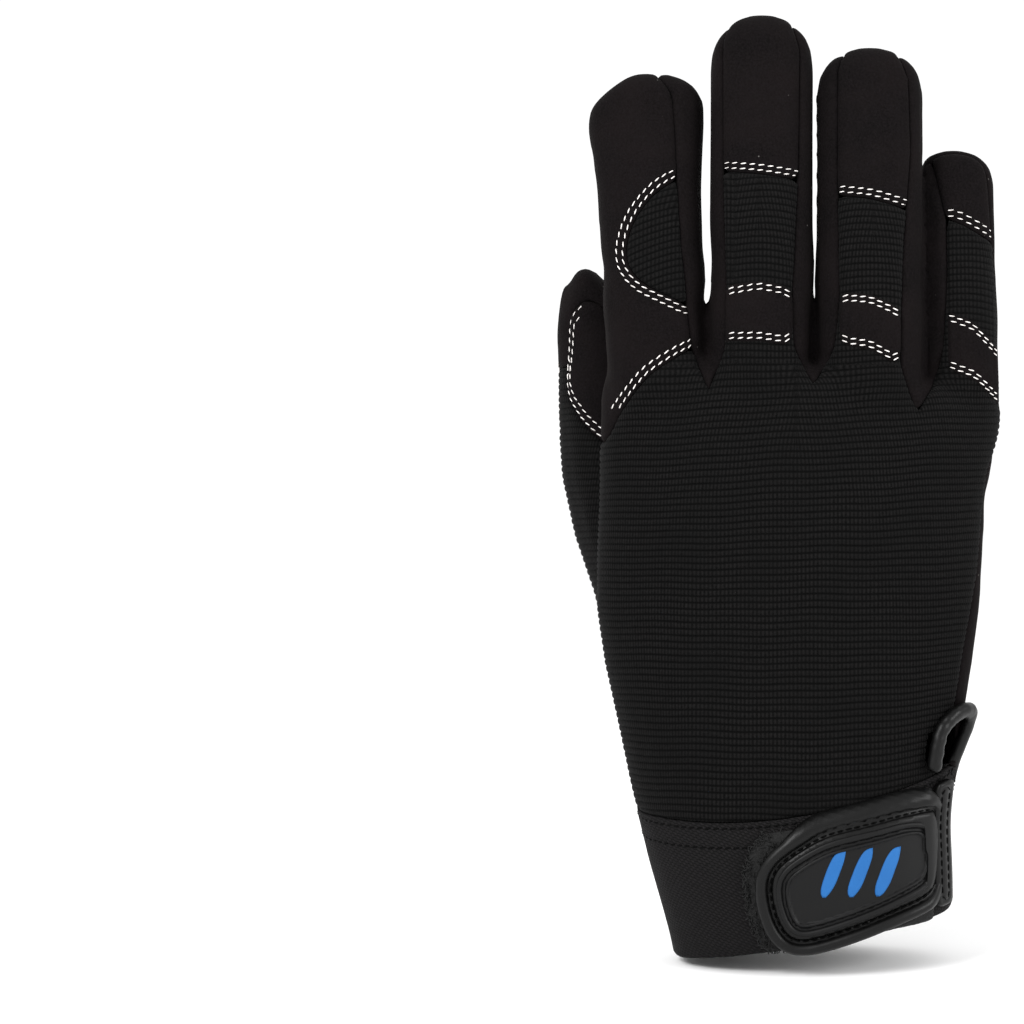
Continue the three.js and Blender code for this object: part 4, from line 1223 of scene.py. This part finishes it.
for k, across in enumerate((0, 6.5, 13)):
    bar = np.array([(across, 12), (across + 3.6, 12.6), (across + 8, 25), (across + 4.4, 24.4)]) * MM
    lay("badge_bar_%d" % (k + 1), rounded(bar, 1), BACK, 3.3 * MM, (0.15, 0.45),
        lambda inside, points: 3.5 + 0.3 * (1 - np.exp(-inside / 0.15)), BLUE_RUBBER, "badge_rubber",
        surface=FRONT)

# %% [markdown]
# ## The piping of the vent
#
# The wrist's vent is bound with a folded strip of the same polyurethane. It is a soft tube,
# so its CAD copy is remeshed finely and smoothed, and small wrinkles cross it at the bend.

# %% Bind the vent
PIPING_STEP = 0.5 * MM
piping = copy_of_nodes(["vent_binding"], "vent_piping")
apply_modifier(piping, "REMESH", mode="VOXEL", voxel_size=PIPING_STEP)
piping_quads = np.array([f for f in faces_of(piping) if len(f) == 4])
piping_edges = np.array([tuple(e.vertices) for e in piping.data.edges])
tube = spread(points_of(piping), piping_edges, 14)
tube_normals = normals_of(tube, piping_quads)
wrinkle = np.sin((tube[:, 2] + 0.6 * tube[:, 0]) / (0.55 * MM)) * np.sin(tube[:, 1] / (1.3 * MM) + 1)
tube += tube_normals * (0.75 * MM + 0.07 * MM * wrinkle)[:, None]
right_leg = smoothstep(34 * MM, 38 * MM, tube[:, 0]) * smoothstep(58 * MM, 46 * MM, tube[:, 2])
tube -= right_leg[:, None] * np.array([4.2, 0.5, 5]) * MM
delete(piping)
piping = object_from("vent_piping", tube, piping_quads)
finish_piece(piping, MOULDED, "moulded_tab", "vent_binding")

# %% [markdown]
# ## Stitches
#
# Two rows of white lockstitch follow most seams. One stitch is modelled, a thin pointed
# capsule, and its copies walk along each row. A row along a seam is the line on which the
# distance to the neighbouring panel has one value. The palm's own rows are drawn as lines and
# dropped on the surface.

# %% Model one stitch and the walk along a row
STITCH_LENGTH = 1.55 * MM
STITCH_WIDTH = 0.33 * MM
STITCH_PITCH = 2.2 * MM
STITCH_LEAN = 0.2

bpy.ops.object.select_all(action="DESELECT")
bpy.ops.mesh.primitive_uv_sphere_add(segments=6, ring_count=6, radius=0.5, rotation=(0, math.pi / 2, 0))
bpy.ops.object.transform_apply(rotation=True)
stitch = bpy.context.object
STITCH_POINTS = points_of(stitch)
STITCH_POINTS[:, 0] = np.sign(STITCH_POINTS[:, 0]) * np.abs(STITCH_POINTS[:, 0] * 2) ** 0.8 / 2
STITCH_FACES = faces_of(stitch)
delete(stitch)


def copies_at(name, template, faces, places, sizes, material, slot):
    """One object that holds a copy of the template at every place, a centre and three axes."""
    points, all_faces = [], []
    for centre, *axes in places:
        start = len(points) * len(template)
        points.append(centre + (template * sizes) @ np.array(axes))
        all_faces += [tuple(p + start for p in f) for f in faces]
    made = object_from(name, np.concatenate(points), all_faces)
    finish_piece(made, material, slot)
    print(name, len(points), "copies")
    return made


def walk(line, normals, pitch, lift, lean, shift=0.0):
    """Places along a line, one each pitch, and their axes."""
    line, normals = np.array(line), np.array(normals)
    length = np.concatenate([[0], np.cumsum(np.linalg.norm(np.diff(line, axis=0), axis=1))])
    count = int((length[-1] - shift) / pitch)
    found = []
    for k in range(count):
        at = shift + (k + 0.5) * (length[-1] - shift) / count
        centre = np.array([np.interp(at, length, line[:, axis]) for axis in range(3)])
        ahead = np.array([np.interp(at + pitch / 3, length, line[:, axis]) for axis in range(3)])
        behind = np.array([np.interp(at - pitch / 3, length, line[:, axis]) for axis in range(3)])
        up = np.array([np.interp(at, length, normals[:, axis]) for axis in range(3)])
        along = ahead - behind
        along /= np.linalg.norm(along) + 1e-12
        up -= along * (up @ along)
        up /= np.linalg.norm(up) + 1e-12
        across = np.cross(up, along)
        turned = along * math.cos(lean) + across * math.sin(lean)
        found.append((centre + up * lift, turned, np.cross(up, turned), up))
    return found


def level_lines(name, values, level, keep):
    """Lines on a piece's outer side where values cross a level, in order."""
    faces, arrays, chosen = panels[name]
    points, normals, outside = arrays["points"], arrays["normals"], arrays["outside"]
    above = values > level
    spots, near = {}, {}
    for face in faces:
        here = []
        for k, p in enumerate(face):
            q = face[(k + 1) % len(face)]
            if above[p] != above[q] and outside[p] > 0.5 and outside[q] > 0.5:
                key = (p, q) if p < q else (q, p)
                share = (level - values[key[0]]) / (values[key[1]] - values[key[0]])
                spots[key] = (points[key[0]] * (1 - share) + points[key[1]] * share,
                              normals[key[0]] * (1 - share) + normals[key[1]] * share)
                here.append(key)
        if len(here) == 2 and keep(*spots[here[0]]) and keep(*spots[here[1]]):
            near.setdefault(here[0], set()).add(here[1])
            near.setdefault(here[1], set()).add(here[0])
    lines = []
    while near:
        start = min(near, key=lambda spot: (len(near[spot]), spot))
        line = [start]
        while near.get(line[-1]):
            step = near[line[-1]].pop()
            near[step].discard(line[-1])
            line.append(step)
        near = {spot: others for spot, others in near.items() if others}
        if len(line) > 4:
            path = np.array([spots[spot][0] for spot in line])
            ups = np.array([spots[spot][1] for spot in line])
            for _ in range(6):
                path[1:-1] = (path[:-2] + 2 * path[1:-1] + path[2:]) / 4
                ups[1:-1] = (ups[:-2] + 2 * ups[1:-1] + ups[2:]) / 4
            lines.append((path, ups))
    return lines


def dropped(line, facing, names):
    """Drop a drawn line of x and z in mm on the outermost of the named pieces."""
    line = rounded(line, 3, closed=False) * MM
    trees = []
    for name in names:
        made = bpy.data.objects[name].data
        trees.append(BVHTree.FromPolygons([v.co for v in made.vertices], [f.vertices for f in made.polygons]))
    path, ups = [], []
    for x, z in line:
        hits = [tree.ray_cast(Vector((x, facing * 0.1, z)), Vector((0, -facing, 0))) for tree in trees]
        hits = [hit for hit in hits if hit[0] is not None]
        if hits:
            place, up = max(hits, key=lambda hit: hit[0].y * facing)[:2]
            path.append(place)
            ups.append(up if up.y * facing > 0 else -up)
    path, ups = np.array(path), np.array(ups)
    for _ in range(3):
        ups[1:-1] = (ups[:-2] + 2 * ups[1:-1] + ups[2:]) / 4
    return [(path, ups)]


def walk_all(lines, pitch=STITCH_PITCH, lean=STITCH_LEAN, lift=0.08 * MM, shift=0.0):
    found = []
    for path, ups in lines:
        found += walk(path, ups, pitch, lift, lean, shift)
    return found


# %% Sew the back
def back_side(place, up):
    return up[1] < 0.35


def seam_rows(name, neighbour, levels, keep):
    values = panels[name][1][neighbour]
    return [walk_all(level_lines(name, values, level * MM, keep), shift=0.7 * MM * k)
            for k, level in enumerate(levels)]


def flat_across(place, up):
    return up[1] < 0.2


def index_edge(place, up):
    return up[1] < 0.3 and place[0] < -20 * MM and place[2] > 134 * MM


def thumb_left(place, up):
    return place[0] < -61.5 * MM


def palm_side(place, up):
    return up[1] > -0.15


white = []
for node in ("middle_fingertip", "ring_fingertip", "little_fingertip"):
    white += seam_rows(node + "_suede", "back_panel", (1.1, 2.4), back_side)
white += seam_rows("suede_palm", "index_knit_window", (1.1, 2.6), flat_across)
white += seam_rows("suede_palm", "back_panel", (1.1, 2.6), index_edge)
white += seam_rows("thumb_web_patch_suede", "back_panel", (1.0, 2.7), lambda place, up: True)
white += seam_rows("thumb_web_patch_suede", "thumb_cap", (1.0, 2.7), thumb_left)
white += seam_rows("thumb_cap_suede", "back_panel", (1.0, 2.6), palm_side)
white += seam_rows("thumb_cap_suede", "thumb_front", (1.0, 2.6), lambda place, up: True)
for finger in ("middle", "ring", "little"):
    outline = outline_of(finger + "_knuckle_strip", BACK) / MM
    following = np.roll(outline, -1, axis=0)
    across = np.linspace(outline[:, 0].min() + 0.5, outline[:, 0].max() - 0.5, 12)
    for side, offsets in ((max, (-0.9, -2.2)), (min, (0.9, 2.2))):
        border = []
        for x in across:
            hits = [a[1] + (b[1] - a[1]) * (x - a[0]) / (b[0] - a[0])
                    for a, b in zip(outline, following) if (a[0] > x) != (b[0] > x)]
            border.append(side(hits))
        for offset in offsets:
            row = [(x, z + offset) for x, z in zip(across, border)]
            white.append(walk_all(dropped(row, BACK, [finger + "_knuckle_strip_suede"])))
white = [place for row in white for place in row]
STITCH_SIZE = np.array([STITCH_LENGTH, STITCH_WIDTH, STITCH_WIDTH])
copies_at("white_stitches_back", STITCH_POINTS, STITCH_FACES, white, STITCH_SIZE, WHITE_THREAD, "thread")

# %% Sew the palm
PALM_LINES = [
    [(-55.5, 188), (-53, 195), (-47, 197.5), (-39, 196.5), (-33, 193)],
    [(-55.5, 188), (-51, 184.5), (-43, 183.5), (-33, 185)],
    [(-56.5, 168), (-54, 174), (-48, 176.5), (-39, 175.5), (-32.5, 171)],
    [(-56.5, 168), (-52, 163), (-44, 161), (-33, 163)],
    [(-56.8, 146), (-55, 149), (-46.4, 150.5), (-38, 152.5), (-31.9, 154.2)],
    [(-26.5, 199.5), (-22, 197.4), (-14, 196.6), (-6, 197.6), (-1.5, 199.6)],
    [(-26.5, 188.6), (-19, 186.6), (-11, 187), (-2, 190)],
    [(-26.8, 177), (-19, 174.6), (-11, 174.8), (-1.6, 178.2)],
    [(2, 201), (9, 198.2), (18.8, 196.6), (26.5, 197.4)],
    [(1.5, 190.9), (11, 188.3), (20.4, 187.2), (27, 188.4)],
    [(1.2, 178.2), (10, 175.8), (18, 174.8), (27, 176)],
    [(29.4, 177.6), (34.2, 175.2), (39.9, 174.5), (45.5, 176.6)],
]
palm = []
for row in PALM_LINES:
    for step in (-0.85, 0.85):
        palm += walk_all(dropped([(x, z + step) for x, z in row], PALM, ["suede_palm"]), lean=0)
for node in ("knuckle_pad", "heel_pad", "thumb_base_pad"):
    name = node + "_suede"
    for level in (1.4, 3.1):
        lines = level_lines(name, panels[name][1]["field"], level * MM, lambda place, up: True)
        palm += walk_all(lines, lean=0)
copies_at("white_stitches_palm", STITCH_POINTS, STITCH_FACES, palm, STITCH_SIZE, WHITE_THREAD, "thread")

# %% Sew the cuff and the tab in black
black = seam_rows("woven_cuff", "back_panel", (1.6,), lambda place, up: True)
black += seam_rows("woven_cuff", "palm_panel", (1.6,), lambda place, up: True)
black += seam_rows("woven_cuff", "back_panel", (6.4,), lambda place, up: True)
for name, level in (("pull_tab", 3.6), ("anchor_strip", 1.3)):
    lines = level_lines(name, panels[name][1]["field"], level * MM, lambda place, up: True)
    black.append(walk_all(lines, lean=0))
black = [place for row in black for place in row]
copies_at("black_stitches", STITCH_POINTS, STITCH_FACES, black,
          STITCH_SIZE * (1.1, 1.4, 1.4), BLACK_THREAD, "thread")

# %% [markdown]
# ## Loops of the pile
#
# Round the tab the loop pad shows its pile: curled nylon loops about a millimetre high. One
# small arch is modelled and scattered, turned at random, over the part that can be seen.

# %% Scatter the loops
LOOP_COUNT = 700
LOOP_SIZE = np.array([1.3, 1.0, 1.0]) * MM
bpy.ops.object.select_all(action="DESELECT")
bpy.ops.mesh.primitive_torus_add(major_segments=8, minor_segments=4, major_radius=0.5, minor_radius=0.11,
                                 rotation=(math.pi / 2, 0, 0))
bpy.ops.object.transform_apply(rotation=True)
arch = bpy.context.object
ARCH_POINTS, ARCH_FACES = points_of(arch), faces_of(arch)
delete(arch)

faces, arrays, chosen = panels["loop_fabric_pad"]
under_tab = signed_distance(arrays["points"][:, [0, 2]], TAB_OUTLINE)
shown = (arrays["points"][:, 0] < -3 * MM) | (arrays["points"][:, 2] > 24 * MM)
open_pile = np.flatnonzero((arrays["outside"] > 0.5) & (under_tab < 1.0 * MM) & shown)
random = np.random.default_rng(7)
scattered = []
for p in random.choice(open_pile, LOOP_COUNT):
    up = arrays["normals"][p] + random.normal(0, 0.35, 3)
    up /= np.linalg.norm(up)
    along = np.cross(up, random.normal(0, 1, 3))
    along /= np.linalg.norm(along)
    centre = arrays["points"][p] + random.normal(0, 0.35, 3) * MM
    scattered.append((centre, along, np.cross(up, along), up))
copies_at("pile_loops", ARCH_POINTS, ARCH_FACES, scattered, LOOP_SIZE, LOOP, "loop_fabric")

# %% [markdown]
# ## Light and floor
#
# The photograph was taken in a white tent: light comes softly from all round, a little more
# from the upper left. A pale world does the same, and two large lamps give the moulded tab
# its highlights.

# %% Light the glove
FLOOR_DROP = 1.5 * MM
bpy.ops.object.select_all(action="DESELECT")
bpy.ops.mesh.primitive_plane_add(size=12, location=(0, 0, CAD_BOX[0].z - FLOOR_DROP))
floor = bpy.context.object
floor.name = "pale_floor"
pale, pale_tree, pale_shader = new_material("matt white paper")
paper = add(pale_tree, "TexNoise", {"Vector": add(pale_tree, "TexCoord").outputs["Object"], "Scale": 30.0})
paper_tone = add(pale_tree, "Mix", {
    "Factor": paper.outputs["Fac"], "A": linear(0xf7f7f7), "B": linear(0xfcfcfc)}, data_type="RGBA")
pale_tree.links.new(paper_tone.outputs["Result"], pale_shader.inputs["Base Color"])
pale_shader.inputs["Roughness"].default_value = 0.95
pale_shader.inputs["Specular IOR Level"].default_value = 0.1
floor.data.materials.append(pale)

world = bpy.data.worlds.new("white tent")
bpy.context.scene.world = world
world.use_nodes = True
world.node_tree.nodes["Background"].inputs["Color"].default_value = linear(0xffffff)
world.node_tree.nodes["Background"].inputs["Strength"].default_value = 1.06

LAMPS = [
    # name, place in m, size in m, watts
    ("key", (-0.75, -0.95, 0.95), 0.6, 16),
    ("side", (0.95, -0.5, 0.5), 0.5, 7),
]
for name, place, size, power in LAMPS:
    bpy.ops.object.light_add(type="AREA", location=place)
    lamp = bpy.context.object
    lamp.name = name
    lamp.data.size = size
    lamp.data.energy = power
    aim = Vector((0, 0, 0.12)) - Vector(place)
    lamp.rotation_euler = aim.to_track_quat("-Z", "Y").to_euler()
bpy.context.scene.view_settings.view_transform = "Standard"

# %% [markdown]
# ## The flat sizes of the cloth pieces
#
# Each sewn panel was cut flat before it was drawn over the hand. Its flat size is the box
# round its pattern. The strips and the fastening pad lie nearly flat, so their box is that
# of their CAD solid. Each piece's open edges are counted and printed.

FLAT = {
    # piece: width and length of its flat pattern in mm
    "knit_back": (150, 190),
    "knit_window": (16, 34),
    "suede_palm": (150, 215),
    "woven_cuff": (190, 40),
    "index_middle_fourchette_suede": (26, 190),
    "middle_ring_fourchette_suede": (26, 190),
    "ring_little_fourchette_suede": (27, 140),
    "middle_fingertip_suede": (24, 70),
    "ring_fingertip_suede": (24, 62),
    "little_fingertip_suede": (17, 26),
    "thumb_web_patch_suede": (17, 42),
    "thumb_cap_suede": (60, 48),
    "thumb_front_suede": (42, 92),
}


def open_edges(obj):
    """How many edges only one face uses."""
    index = np.empty(len(obj.data.loops), dtype=int)
    obj.data.loops.foreach_get("edge_index", index)
    return int((np.bincount(index, minlength=len(obj.data.edges)) == 1).sum())


LAID = {
    "middle_knuckle_strip_suede": "middle_knuckle_strip",
    "ring_knuckle_strip_suede": "ring_knuckle_strip",
    "little_knuckle_strip_suede": "little_knuckle_strip",
    "loop_fabric_pad": "loop_pad",
}
for name, node in LAID.items():
    low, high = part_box(node)
    FLAT[name] = (round((high.x - low.x) / MM, 1), round((high.z - low.z) / MM, 1))
    print(name, "flat size in mm", FLAT[name])

for name, (width, length) in FLAT.items():
    piece = bpy.data.objects[name]
    print(name, "open edges:", open_edges(piece))
